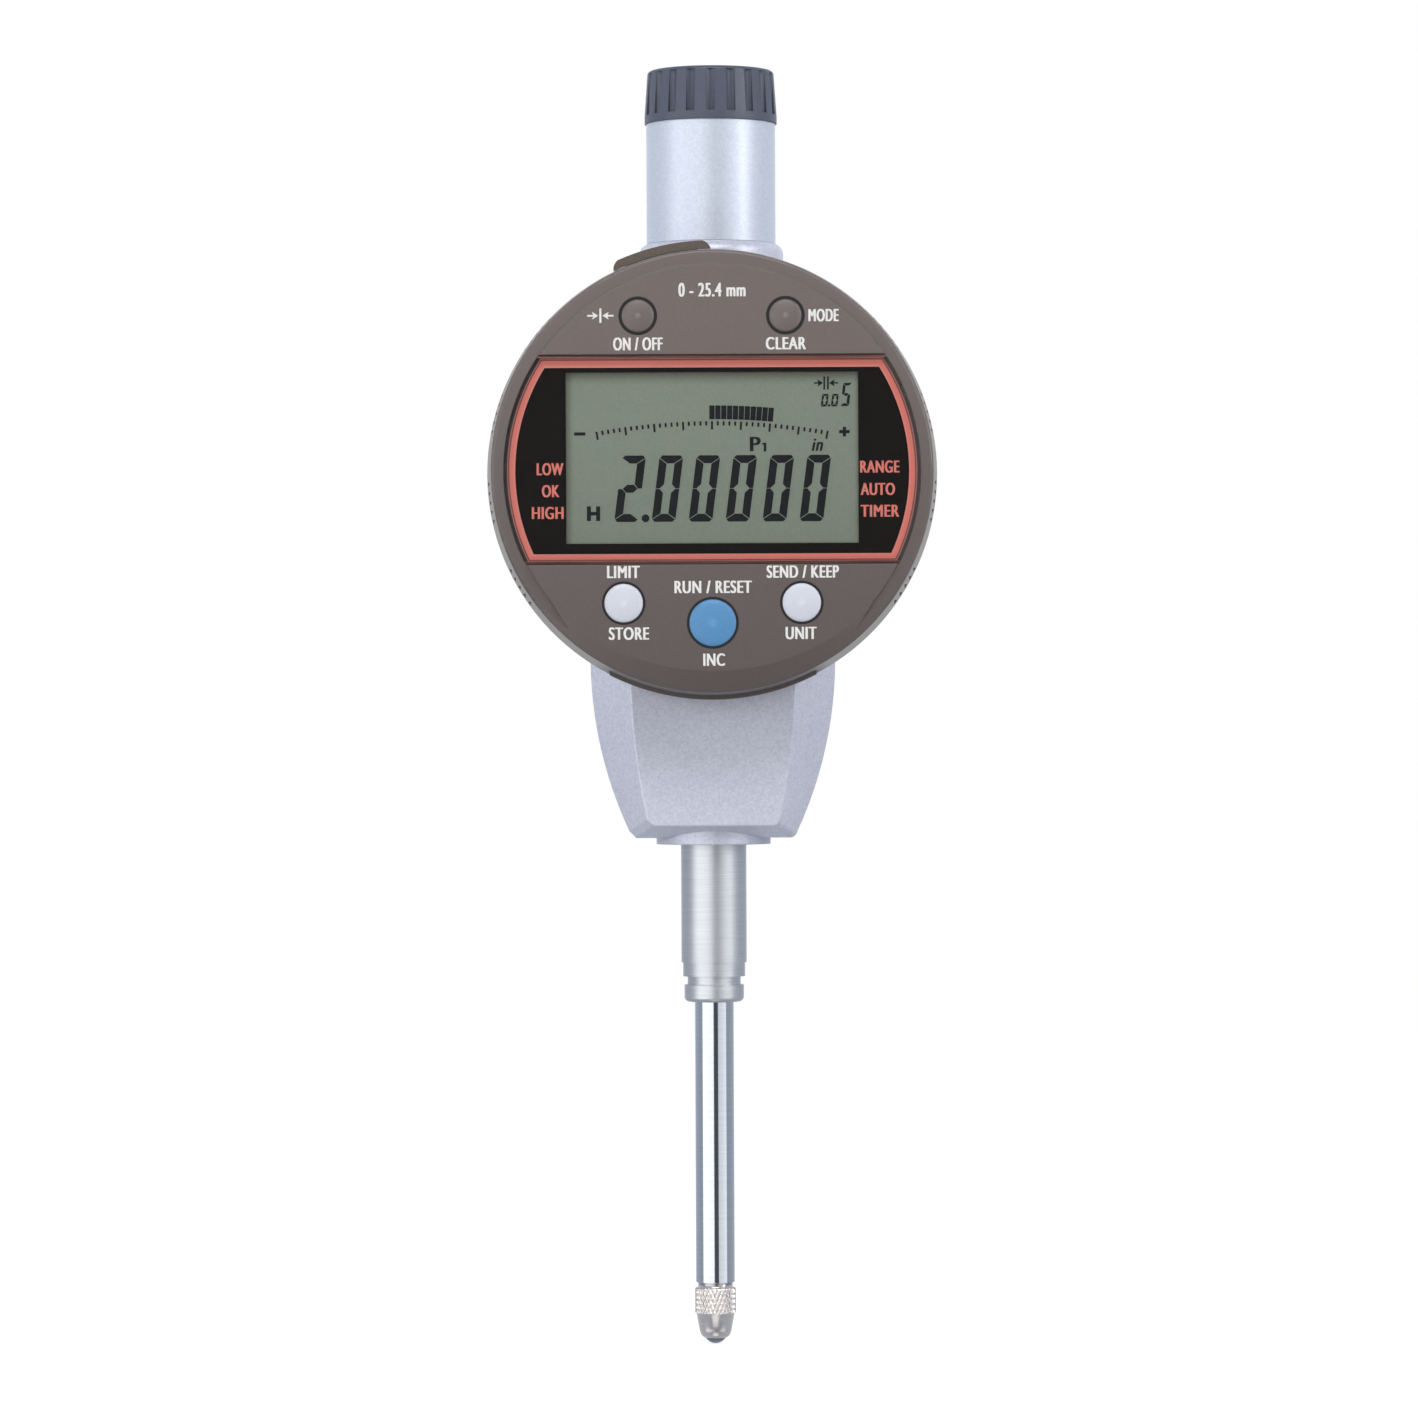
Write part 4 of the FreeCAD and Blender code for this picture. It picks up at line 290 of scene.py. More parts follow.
def make_contact_point():
    low, high = (corner.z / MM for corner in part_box("contact_point"))
    seat = high - THREAD_LENGTH            # where the thread ends and the spindle sits
    knurl_low, knurl_top = seat + KNURL_BAND[0], seat + KNURL_BAND[1]

    def knurled(radius, angle, level):
        if not knurl_low <= level <= knurl_top or radius < KNURL_RADIUS:
            return radius
        run, rise = angle * KNURL_COUNT / (2 * math.pi), (level - knurl_low) / KNURL_LIFT
        hollow = 0.0
        for phase in (run + rise, run - rise):
            groove = abs(2 * (phase % 1.0) - 1)
            hollow = max(hollow, (groove - KNURL_FLAT) / (1 - KNURL_FLAT))
        return radius - KNURL_DEPTH * hollow

    row_height = (knurl_top - knurl_low) / KNURL_ROWS
    profile = []
    for degrees in (90, 70, 45, 20, 0, -20):
        turn = math.radians(degrees)
        radius = 0 if degrees == 90 else CUP_RADIUS * math.cos(turn)
        profile.append((radius, low + BALL_RISE + CUP_RADIUS * math.sin(turn)))
    profile += [(radius, low + up) for radius, up in NOSE]
    profile += [(2.37, knurl_low - 0.03), (2.4, knurl_low - 0.005)]
    profile += [(KNURL_RADIUS, knurl_low + row_height * row) for row in range(KNURL_ROWS + 1)]
    profile += [(2.3, seat - 0.4), (NECK_RADIUS, seat - 0.3), (NECK_RADIUS, seat)]
    profile += [(THREAD_RADIUS, seat), (THREAD_RADIUS, high), (0, high)]
    point = lathe("knurled_contact_point", profile, AROUND, knurled)
    nickel, tree, shader = start("nickel_plated_steel", "#e2dbd6", 0.24, Metallic=1.0)
    marks(tree, shader, ("#d6cfca", "#eae3de"), (1.2, 1.2, 0.05), 0.0008)
    point.data.materials.append(nickel)
    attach(point, "spindle")
    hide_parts("contact_point")


make_contact_point()

# Spindle and guide pin. Hardened stainless steel, centreless ground and polished. The wheel leaves rings
# too fine to see, which draw each reflection out along the spindle.

spindle_steel, tree, shader = start("ground_stainless_steel", "#c6cad1", 0.1, Metallic=1.0)
marks(tree, shader, ("#c1c5cc", "#ccd0d6"), (6.0, 6.0, 0.06), 0.00012)
dress(spindle_steel, "spindle", "guide_pin")

# Stem. Turned from bar in steel and ground to 8 mm. It has a groove and a collar for a lifting lever.
# The grinding is coarser than on the spindle, so that its reflections are softer.

stem_steel, tree, shader = start("fine_turned_steel", "#c6c8cb", 0.42, Metallic=1.0)
marks(tree, shader, ("#bdc0c4", "#cdced0"), (5.0, 5.0, 0.09), 0.0005)
dress(stem_steel, "stem")

# Wiper, bumper and seals. Nitrile rubber, moulded black, and pressed into their seats. They are dull, with
# a dusty bloom.

nitrile, tree, shader = start("moulded_nitrile_rubber", "#1d1d1e", 0.7)
marks(tree, shader, ("#171718", "#262627"), (0.3, 0.3, 0.3), 0.006)
dress(nitrile, "dust_wiper", "bumper", "cover_seal", "cap_seal")

# Bushes. Tin bronze, pressed into stem and bracket and reamed for the spindle. They are yellow brown, with
# rings from the reamer.

bronze, tree, shader = start("reamed_tin_bronze", "#b8915c", 0.3, Metallic=1.0)
marks(tree, shader, ("#a67f4b", "#c69f6a"), (4.0, 4.0, 0.1), 0.001)
dress(bronze, "lower_bush", "stem_bush", "upper_bush")

# Case and back cover. Aluminium pressure die castings under a silver grey enamel with fine metal flakes,
# sprayed dry, so that the surface is a little rough and glitters where it turns to the light.

FLAKE = 0.22               # mm, drawn coarser than the real 0.05 mm, which wouldn't show
CLOUD = 0.5                # mm, the soft mottle of the sprayed coat


def enamel(name, colours, roughness, metallic, depth, rounding):
    """Silver enamel: metal flakes of different tone in a rough clear binder."""
    material, tree, shader = start(name, colours[0], roughness, Metallic=metallic)
    place = add(tree, "TexCoord").outputs["Object"]
    flakes = add(tree, "TexVoronoi", {"Vector": place, "Scale": 1 / (FLAKE * MM)}).outputs["Color"]
    tone = add(tree, "SeparateXYZ", {0: flakes}).outputs[0]
    cloud = add(tree, "TexNoise", {"Vector": place, "Scale": 1 / (CLOUD * MM), "Detail": 4.0}).outputs[0]
    blend = add(tree, "Mix", {0: 0.45, 2: tone, 3: cloud}).outputs[0]
    colour = add(tree, "Mix", {0: blend, 6: linear(colours[0]), 7: linear(colours[1])}, data_type="RGBA")
    tree.links.new(colour.outputs[2], shader.inputs["Base Color"])
    relief(tree, shader, blend, depth, rounding)
    return material


case_enamel = enamel("silver_flake_enamel", ("#b4b6c5", "#d1d3dd"), 0.4, 0.36, 0.006, 0.35)
dress(case_enamel, "main_case", "back_cover")

# Screws. Small stainless machine screws, cold headed and tumbled bright. They hold the back, the display
# and the boards, and their plain round heads shine with a faint grey mottle.

screw_steel, tree, shader = start("bright_stainless_screw", "#c2c4c7", 0.28, Metallic=1.0)
marks(tree, shader, ("#b5b8bb", "#cccfd1"), (0.3, 0.3, 0.3), 0.001)
dress(screw_steel, "back_screws", "display_screws", "detector_screws", "bracket_screws", "clamp_screws")

# Top tube. Drawn aluminium, turned outside and screwed into the case's collar. It is sprayed with a smoother
# coat of the same silver, so that the soft boxes show in it as broad soft bands.

tube_enamel = enamel("satin_silver_enamel", ("#bcc3d0", "#d0d5df"), 0.4, 0.45, 0.002, 0.1)
dress(tube_enamel, "top_tube")

# Top cap. Moulded in blue grey ABS, with flutes for the fingers, and screwed into the tube. The mould's fine
# spark grain leaves it half dull.

cap_plastic, tree, shader = start("blue_grey_moulded_abs", "#454a59", 0.42)
marks(tree, shader, ("#414554", "#4b505e"), (0.12, 0.12, 0.12), 0.004, 0.12)
dress(cap_plastic, "top_cap")

# Carriage, bracket and hub. Milled from aluminium bar, and clamped or screwed in the case. They are bright,
# with the cutter's fine parallel lines.

milled, tree, shader = start("milled_aluminium", "#c9cbce", 0.3, Metallic=1.0)
marks(tree, shader, ("#bbbdc1", "#d3d5d8"), (0.12, 0.12, 3.0), 0.002)
dress(milled, "scale_carrier", "guide_bracket", "hub")

# Encoder scale. A strip of glass, glued to the carriage, with a fine grating of chrome lines, one every
# fifth of a millimetre. The chrome flashes between the darker gaps.

GRATING = 0.4              # mm, drawn coarser than the real 0.2 mm


def make_scale():
    material, tree, shader = start("chrome_grating_on_glass", "#9fb0b4", 0.12, Metallic=0.3)
    level = add(tree, "SeparateXYZ", {0: add(tree, "TexCoord").outputs["Object"]}).outputs["Z"]
    phase = add(tree, "Math", {0: level, 1: 1 / (GRATING * MM)}, operation="MULTIPLY").outputs[0]
    share = add(tree, "Math", {0: phase}, operation="FRACT").outputs[0]
    line = add(tree, "Math", {0: share, 1: 0.5}, operation="GREATER_THAN").outputs[0]
    tone = add(tree, "Mix", {0: line, 6: linear("#7d9296"), 7: linear("#dfe3e4")}, data_type="RGBA")
    tree.links.new(tone.outputs[2], shader.inputs["Base Color"])
    dress(material, "encoder_scale")


make_scale()

# Circuit boards. Glass fibre laminate, screwed to case and display. Copper tracks stand up a little and
# look paler under the green solder mask.

TRACK = 1.6                # mm from one copper track to the next


def make_board():
    material, tree, shader = start("solder_masked_laminate", "#1c5a36", 0.35)
    place = add(tree, "TexCoord").outputs["Object"]
    tracks = add(tree, "TexVoronoi", {"Vector": place, "Scale": 1 / (TRACK * MM)},
                 distance="CHEBYCHEV", feature="F1").outputs["Distance"]
    edge = add(tree, "MapRange", {0: tracks, 1: 0.42, 2: 0.5}).outputs[0]
    tone = add(tree, "Mix", {0: edge, 6: linear("#174e2e"), 7: linear("#2c7a4b")}, data_type="RGBA")
    tree.links.new(tone.outputs[2], shader.inputs["Base Color"])
    bump = add(tree, "Bump", {"Height": edge, "Strength": 0.6, "Distance": 0.02 * MM})
    tree.links.new(bump.outputs[0], shader.inputs["Normal"])
    dress(material, "detector_board", "main_board")


make_board()

# Rail, spring, washer, ring and pins. Spring steel, blued by its heat treatment, snapped or pressed into
# their seats and lightly oiled. They have a dark, greasy shine.

spring_steel, tree, shader = start("oiled_spring_steel", "#80858c", 0.26, Metallic=1.0)
marks(tree, shader, ("#70757c", "#8f949b"), (0.5, 0.5, 0.5), 0.001)
dress(spring_steel, "guide_rail", "return_spring", "friction_washer", "retaining_ring", "turn_stop_pin",
      "spring_post")

# Flat cable. Copper tracks between two amber polyimide films, plugged into both boards. The tracks show as
# long faint stripes in the glossy film.

polyimide, tree, shader = start("amber_polyimide_film", "#a8722c", 0.3)
marks(tree, shader, ("#9a6524", "#b98338"), (0.35, 0.35, 6.0), 0.003)
dress(polyimide, "ribbon_cable")

# Display casing. Rear cover, bezel and battery tray are moulded in warm grey ABS. The mould is spark
# eroded, which leaves a fine even grain and a soft sheen.

DIAL = (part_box("hub")[0].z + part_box("hub")[1].z) / 2  # the height of the dial's middle


def paint_shade_downward(tree, shader, low, high, least):
    """Painted shade: the tone sinks to its least share from the high level down to the low one, as if less
    light reached the lower part.
    """
    tone = shader.inputs["Base Color"].links[0].from_socket
    level = add(tree, "SeparateXYZ", {0: add(tree, "TexCoord").outputs["Object"]}).outputs["Z"]
    share = add(tree, "MapRange", {0: level, 1: low, 2: high, 3: least, 4: 1.0}).outputs[0]
    whole = add(tree, "Mix", {0: 1.0, 6: tone, 7: share}, data_type="RGBA", blend_type="MULTIPLY")
    tree.links.new(whole.outputs[2], shader.inputs["Base Color"])


# Painted shade: the casing's tone darkens towards the foot of the display, standing in for light that falls
# from above.
FALLING_PAINTED_SHADE = (-26, 18, 0.64)    # from and to, mm from the dial's middle, and what is left of the tone at its foot

casing, tree, shader = start("warm_grey_moulded_abs", "#655b58", 0.36)
marks(tree, shader, ("#615855", "#6b605d"), (0.11, 0.11, 0.11), 0.005, 0.15)
paint_shade_downward(tree, shader, DIAL + FALLING_PAINTED_SHADE[0] * MM, DIAL + FALLING_PAINTED_SHADE[1] * MM, FALLING_PAINTED_SHADE[2])
dress(casing, "bezel", "display_rear_cover", "battery_tray")

# Window. Clear acrylic with a bevelled edge, glued into the bezel. Light goes straight through it, apart
# from a reflection that grows towards grazing angles. Along its top and foot, the bevel's faces are an
# opaque dull red brown instead: painted light and shade for what the bevel shows of the red line.


def make_window():
    acrylic = bpy.data.materials.new("clear_polished_acrylic")
    acrylic.use_nodes = True
    tree = acrylic.node_tree
    tree.nodes.remove(tree.nodes["Principled BSDF"])
    gloss = add(tree, "BsdfGlossy", {"Roughness": 0.03, "Color": (1, 1, 1, 1)})
    clear = add(tree, "BsdfTransparent", {"Color": (0.985, 0.985, 0.985, 1)})
    share = add(tree, "Fresnel", {"IOR": 1.49}).outputs[0]
    whole = add(tree, "MixShader", {0: share, 1: clear.outputs[0], 2: gloss.outputs[0]})
    tree.links.new(whole.outputs[0], tree.nodes["Material Output"].inputs[0])
    dress(acrylic, "window_lens")
    # Painted light and shade: the bevel's faces along the window's top and foot get an opaque red brown, for
    # the red and the shade that the bevel shows.
    bevel, tree, shader = start("bevel_with_painted_light_and_shade", "#7d5a52", 0.25)
    marks(tree, shader, ("#6d4c45", "#8b665e"), (6.0, 6.0, 0.15), 0.0005)
    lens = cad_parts["window_lens"].data
    lens.materials.append(bevel)
    for face in lens.polygons:   # the bevelled faces along the window's top and foot
        if face.normal.y < -0.3 and abs(face.normal.z) > 0.3:
            face.material_index = 1


make_window()

# Prints behind the window. Salmon and black inks, screen printed on film and glued to the window. A salmon
# line runs round it, and black covers the rest. Along the line's outer edge, a dark, a pale and a dark line
# are painted shade and a painted highlight where the bevel bends the light. Both red prints glow a little as
# painted light.

# Painted light: the red prints glow by this share of their colour, standing in for light that the window's
# sides mirror back onto the ink.
PAINTED_WINDOW_GLOW = 0.22        # light that the window's sides mirror back to the ink, as a share of its colour
BAND_PRINT_AND_PAINTED_LIGHT = ((0.0, "#5a3632"), (0.05, "#5a3632"), (0.1, "#b5837b"), (0.17, "#b5837b"), (0.22, "#8a4a43"),
              (0.32, "#94504a"), (0.38, "#ee8576"), (0.8, "#f28a7c"), (1.1, "#fb9a8c"))


def red_print_with_painted_glow(name):
    red, tree, shader = start(name, "#f28a7c", 0.4)
    marks(tree, shader, ("#ee8677", "#f78f81"), (0.5, 0.5, 0.5), 0.0005)
    # Painted light: the red ink glows in its own colour.
    shader.inputs["Emission Color"].default_value = linear("#f28a7c")
    shader.inputs["Emission Strength"].default_value = PAINTED_WINDOW_GLOW
    return red, tree, shader


def make_colour_band():
    """Across the line, from its outer edge in mm: painted shade as a dark line, a painted highlight as a
    pale one, painted shade as a dark one, then the red, lighter towards its inner edge.
    """
    band, tree, shader = red_print_with_painted_glow("salmon_line_with_painted_bevel_light")
    low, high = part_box("colour_band")
    place = add(tree, "TexCoord").outputs["Object"]
    centred = add(tree, "VectorMath", {0: place, 1: (0, low.y, DIAL)}, operation="SUBTRACT").outputs[0]
    flat = add(tree, "VectorMath", {0: centred, 1: (1, 0, 1)}, operation="MULTIPLY").outputs[0]
    reach = add(tree, "VectorMath", {0: flat}, operation="LENGTH").outputs["Value"]
    level = add(tree, "SeparateXYZ", {0: flat}).outputs["Z"]
    inside = add(tree, "Math", {0: (high.x - low.x) / 2, 1: reach}, operation="SUBTRACT").outputs[0]
    below = add(tree, "Math", {0: high.z - DIAL, 1: level}, operation="SUBTRACT").outputs[0]
    above = add(tree, "Math", {0: level, 1: low.z - DIAL}, operation="SUBTRACT").outputs[0]
    nearer = add(tree, "Math", {0: below, 1: above}, operation="MINIMUM").outputs[0]
    depth = add(tree, "Math", {0: inside, 1: nearer}, operation="MINIMUM").outputs[0]
    whole = BAND_PRINT_AND_PAINTED_LIGHT[-1][0]
    share = add(tree, "Math", {0: depth, 1: 1 / (whole * MM)}, operation="MULTIPLY").outputs[0]
    # Painted shade and a painted highlight: the ramp darkens, lightens and darkens the line's outer edge
    # before the red.
    ramp = add(tree, "ValToRGB", {0: share})
    stops = ramp.color_ramp.elements
    stops.remove(stops[1])
    stops[0].color = linear(BAND_PRINT_AND_PAINTED_LIGHT[0][1])
    for edge, code in BAND_PRINT_AND_PAINTED_LIGHT[1:]:
        stops.new(edge / whole).color = linear(code)
    for socket in ("Base Color", "Emission Color"):
        tree.links.new(ramp.outputs[0], shader.inputs[socket])
    dress(band, "colour_band")


make_colour_band()
glowing_red_ink = red_print_with_painted_glow("salmon_screen_ink_with_painted_glow")[0]

black_ink, tree, shader = start("black_screen_ink", "#1f1712", 0.3, Specular_IOR_Level=0.05)
marks(tree, shader, ("#1d140e", "#221913"), (0.5, 0.5, 0.5), 0.0005)
dress(black_ink, "window_mask")

# Liquid crystal panel. Two sheets of glass with a reflector behind: grey green, lighter at the top. A
# painted shadow darkens it along its edges, deepest along the upper edge, for the soft shadow that the mask
# throws on the reflector.


def make_panel():
    def tint(colour, factor):
        both = {0: 1.0, 6: colour, 7: factor}
        return add(tree, "Mix", both, data_type="RGBA", blend_type="MULTIPLY").outputs[2]

    material, tree, shader = start("reflective_liquid_crystal_glass", "#a8b4a2", 0.4)
    low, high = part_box("lcd_panel")
    place = add(tree, "TexCoord").outputs["Object"]
    level = add(tree, "SeparateXYZ", {0: place}).outputs["Z"]
    rise = add(tree, "MapRange", {0: level, 1: low.z, 2: high.z}).outputs[0]
    tone = add(tree, "Mix", {0: rise, 6: linear("#a6b29e"), 7: linear("#afbba8")}, data_type="RGBA")
    speck = add(tree, "TexNoise", {"Vector": place, "Scale": 1 / (0.25 * MM), "Detail": 3.0}).outputs[0]
    grain = add(tree, "MapRange", {0: speck, 1: 0.3, 2: 0.7, 3: 0.94, 4: 1.06}).outputs[0]
    whole = tint(tone.outputs[2], grain)
    across = add(tree, "SeparateXYZ", {0: place}).outputs["X"]
    # Painted shadow: each edge darkens to a warm dark tone, for the mask's shadow on the reflector.
    painted_shadows = ((level, high.z, -0.93, -1.9, 0.35), (level, low.z, 1.0, 0.5, 0.6),
              (across, low.x, 1.1, 1.2, 0.55), (across, high.x, -1.1, -0.6, 0.6))
    for axis, edge, inset, reach, least in painted_shadows:
        start_at = edge + inset * MM
        clear = add(tree, "MapRange", {0: axis, 1: start_at, 2: start_at + reach * MM},
                    interpolation_type="SMOOTHSTEP").outputs[0]
        warm = (least, least * 0.96, least * 0.84, 1)
        shade = add(tree, "Mix", {0: clear, 6: warm, 7: (1, 1, 1, 1)},
                    data_type="RGBA").outputs[2]
        whole = tint(whole, shade)
    tree.links.new(whole, shader.inputs["Base Color"])
    dress(material, "lcd_panel")


make_panel()

# What the panel shows. Dark segments lie in the liquid crystal: seven slanted bars make a figure, and an
# arc of ticks with a row of blocks over it makes the analogue bar.

PANEL_FRONT = -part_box("lcd_panel")[0].y
SEGMENT = 0.03 * MM        # thickness
FIGURE_SIZE = (2.82, 7.9)  # width and height of a large figure, mm
FIGURE_PLACE = (-11.7, -6.0)  # lower left corner of the first one, mm from the dial's middle, as all below
FIGURE_STROKE = 0.94
FIGURE_SLANT = 7.3         # degrees
FIGURE_STEP = 4.4
POINT_PLACE = (-7.95, -5.57)
POINT_RADIUS = 0.47
SMALL_FIGURES = (("0", 12.95, 7.65, 0.78, 1.5, 0.26), ("0", 14.15, 7.65, 0.78, 1.5, 0.26),
                 ("5", 15.3, 7.7, 1.0, 2.75, 0.32))  # digit, place, width, height, stroke
SMALL_POINT = (13.95, 7.78, 0.26, 0.26)
HOLD_LETTER = ((-14.7, -5.0, 0.48, 1.75), (-13.6, -5.0, 0.48, 1.75), (-14.15, -5.0, 0.7, 0.42))
MINUS = ((-15.76, 4.5, 1.35, 0.38),)
PLUS = ((15.76, 4.65, 1.25, 0.38), (15.76, 5.03, 0.38, 0.4), (15.76, 4.27, 0.38, 0.4))
PRESET_ONE = (6.3, 2.85, 0.3, 1.05)
PRESET_FLAG = ((5.92, 3.15), (6.15, 3.15), (6.15, 3.37), (5.92, 3.25))
ARC_HALF, ARC_SAG, ARC_TOP = 13.77, 1.19, 5.95
ARC_STEPS = 20             # ticks to each side of the middle one
ARC_BLOCKS = 11            # blocks over the arc, from its middle to the right
LIT = {"0": "abcdef", "2": "abged", "5": "afgcd"}


def flat_pieces(name, outlines, rear, thick, material):
    """Thin flat pieces on the display; outlines are in mm from its centre, rear is a depth in metres."""
    mesh = bmesh.new()
    for outline in outlines:
        corners = [mesh.verts.new((u * MM, -rear, DIAL + v * MM)) for u, v in outline]
        front = mesh.faces.new(corners)
        sides = bmesh.ops.extrude_face_region(mesh, geom=[front])
        moved = [piece for piece in sides["geom"] if isinstance(piece, bmesh.types.BMVert)]
        bmesh.ops.translate(mesh, verts=moved, vec=(0, -thick, 0))
    bmesh.ops.recalc_face_normals(mesh, faces=mesh.faces)
    piece = put(name, mesh)
    piece.data.materials.append(material)
    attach(piece, "display")


def box_at(u, v, width, height):
    """The outline of an upright rectangle round its middle."""
    return [(u - width / 2, v - height / 2), (u + width / 2, v - height / 2),
            (u + width / 2, v + height / 2), (u - width / 2, v + height / 2)]


def slanted(outline, u, v):
    """Moves an outline to its place and leans it to the right."""
    lean = math.tan(math.radians(FIGURE_SLANT))
    return [(u + x + y * lean, v + y) for x, y in outline]


def figure(digit, width, height, stroke, gap=0.065):
    """The lit bars of a seven segment figure whose lower left corner is at nought."""
    middle, inner, half = height / 2, width - stroke, stroke / 2
    corner = stroke * 0.3
    bars = {
        "a": [(gap + corner, height), (width - gap - corner, height), (width - gap, height - corner),
              (inner - gap, height - stroke), (stroke + gap, height - stroke), (gap, height - corner)],
        "f": [(0, height - gap - corner), (stroke, height - stroke - gap), (stroke, middle + half + gap),
              (half, middle + gap / 2), (0, middle + gap / 2)],
        "g": [(half + gap, middle), (stroke + gap, middle + half), (inner - gap, middle + half),
              (width - half - gap, middle), (inner - gap, middle - half), (stroke + gap, middle - half)],
    }
    bars["b"] = [(width - x, y) for x, y in bars["f"]]
    bars["c"] = [(width - x, height - y) for x, y in bars["f"]]
    bars["d"] = [(x, height - y) for x, y in bars["a"]]
    bars["e"] = [(x, height - y) for x, y in bars["f"]]
    return [bars[bar] for bar in LIT[digit]]


def arrows(u, v, half_width, reach, bars, stroke, head):
    """Two arrows that point at each other over one or two upright bars."""
    outlines = [box_at(u + place, v, stroke, half_width * 1.1) for place in bars]
    for side in (-1, 1):
        tip, tail = u + side * reach, u + side * half_width
        outlines.append([(tip, v), (tip + side * head, v + head * 0.62), (tip + side * head * 0.75, v),
                         (tip + side * head, v - head * 0.62)][::side])
        outlines.append(box_at((tip + side * head * 0.75 + tail) / 2, v,
                               abs(tail - tip - side * head * 0.75), stroke * 0.85))
    return outlines


def analogue_bar():
    """An arc of ticks, each fifth one long, with blocks over it from the middle to the right."""
    radius = (ARC_HALF ** 2 + ARC_SAG ** 2) / (2 * ARC_SAG)
    turn = math.asin(ARC_HALF / radius) / ARC_STEPS
    outlines = []
    for i in range(-ARC_STEPS, ARC_STEPS + 1):
        out = Vector((math.sin(i * turn), math.cos(i * turn)))
        across = Vector((out.y, -out.x))
        middle = out * radius + Vector((0, ARC_TOP - radius))
        bars = [(-0.98 if i % 5 == 0 else -0.5, 0.0, 0.12)]
        if 0 <= i < ARC_BLOCKS:
            bars.append((0.24, 1.88, 0.315))
        for foot, head, half in bars:
            outlines.append([tuple(middle + out * rise + across * side) for rise, side in
                             ((foot, -half), (foot, half), (head, half), (head, -half))])
    return outlines


def make_segments():
    ink, tree, shader = start("switched_liquid_crystal", "#1f1f24", 0.4, Specular_IOR_Level=0.2)
    marks(tree, shader, ("#1c1c21", "#232328"), (0.4, 0.4, 0.4), 0.0002)
    width, height = FIGURE_SIZE
    left, foot = FIGURE_PLACE
    outlines = []
    places = [left] + [left + 0.05 + FIGURE_STEP * step for step in range(1, 6)]
    for digit, u in zip("200000", places):
        outlines += [slanted(bar, u, foot) for bar in figure(digit, width, height, FIGURE_STROKE)]
    outlines.append([(POINT_PLACE[0] + POINT_RADIUS * math.cos(a * math.pi / 6),
                      POINT_PLACE[1] + POINT_RADIUS * math.sin(a * math.pi / 6)) for a in range(12)])
    for digit, u, v, small, tall, stroke in SMALL_FIGURES:
        outlines += [slanted(bar, u, v) for bar in figure(digit, small, tall, stroke, gap=0.03)]
    for box in (SMALL_POINT, *HOLD_LETTER, *MINUS, *PLUS, PRESET_ONE):
        outlines.append(box_at(*box))
    outlines.append(PRESET_FLAG)
    outlines += arrows(13.6, 10.45, half_width=1.42, reach=0.35, bars=(-0.22, 0.22), stroke=0.2, head=0.7)
    outlines += analogue_bar()
    flat_pieces("lcd_segments", outlines, PANEL_FRONT, SEGMENT, ink)
    return ink


segment_ink = make_segments()

# Words on the panel and on the face. They are short words for what a key does, screen printed in dull white
# on the face and in the window's red beside the panel.


def lettering(name, words, u, v, width, height, rear, thick, material, slant=0.0, weight=0.07):
    """A printed word, by its whole width and its capitals' height in mm. Its strokes are made bold by
    three layers, moved sideways by the weight."""
    letters = bpy.data.curves.new(name, "FONT")
    letters.space_character = 1.12
    shapes = []
    for text in ("H", words):
        letters.body = text
        holder = bpy.data.objects.new(name, letters)
        shapes.append(bpy.data.meshes.new_from_object(holder))
        bpy.data.objects.remove(holder)
    capital = max(vertex.co.y for vertex in shapes[0].vertices)
    left = min(vertex.co.x for vertex in shapes[1].vertices)
    right = max(vertex.co.x for vertex in shapes[1].vertices)
    lean = math.tan(math.radians(slant))
    mesh = bmesh.new()
    for layer, shift in enumerate((-weight, 0, weight)):
        print_layer = bmesh.new()
        print_layer.from_mesh(shapes[1])
        bmesh.ops.remove_doubles(print_layer, verts=print_layer.verts, dist=1e-5)
        for vertex in print_layer.verts:
            y = vertex.co.y / capital * height - height / 2
            x = (vertex.co.x - (left + right) / 2) / (right - left) * (width - 2 * weight) + y * lean
            vertex.co = ((u + x + shift) * MM, -rear, DIAL + (v + y) * MM)
        sides = bmesh.ops.extrude_face_region(print_layer, geom=list(print_layer.faces))
        moved = [piece for piece in sides["geom"] if isinstance(piece, bmesh.types.BMVert)]
        bmesh.ops.translate(print_layer, verts=moved, vec=(0, -thick * (1 + 0.1 * layer), 0))
        flat = bpy.data.meshes.new(name)
        print_layer.to_mesh(flat)
        print_layer.free()
        mesh.from_mesh(flat)
        bpy.data.meshes.remove(flat)
    bmesh.ops.recalc_face_normals(mesh, faces=mesh.faces)
    piece = put(name, mesh)
    piece.data.materials.append(material)
    for shape in shapes:
        bpy.data.meshes.remove(shape)
    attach(piece, "display")


FACE = -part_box("bezel")[0].y
FILM_FRONT = -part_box("window_mask")[0].y
PRINT = 0.015 * MM

white_ink, tree, shader = start("white_screen_ink", "#d6d3d0", 0.5)
marks(tree, shader, ("#cfccc9", "#dcdad7"), (0.3, 0.3, 0.3), 0.001)

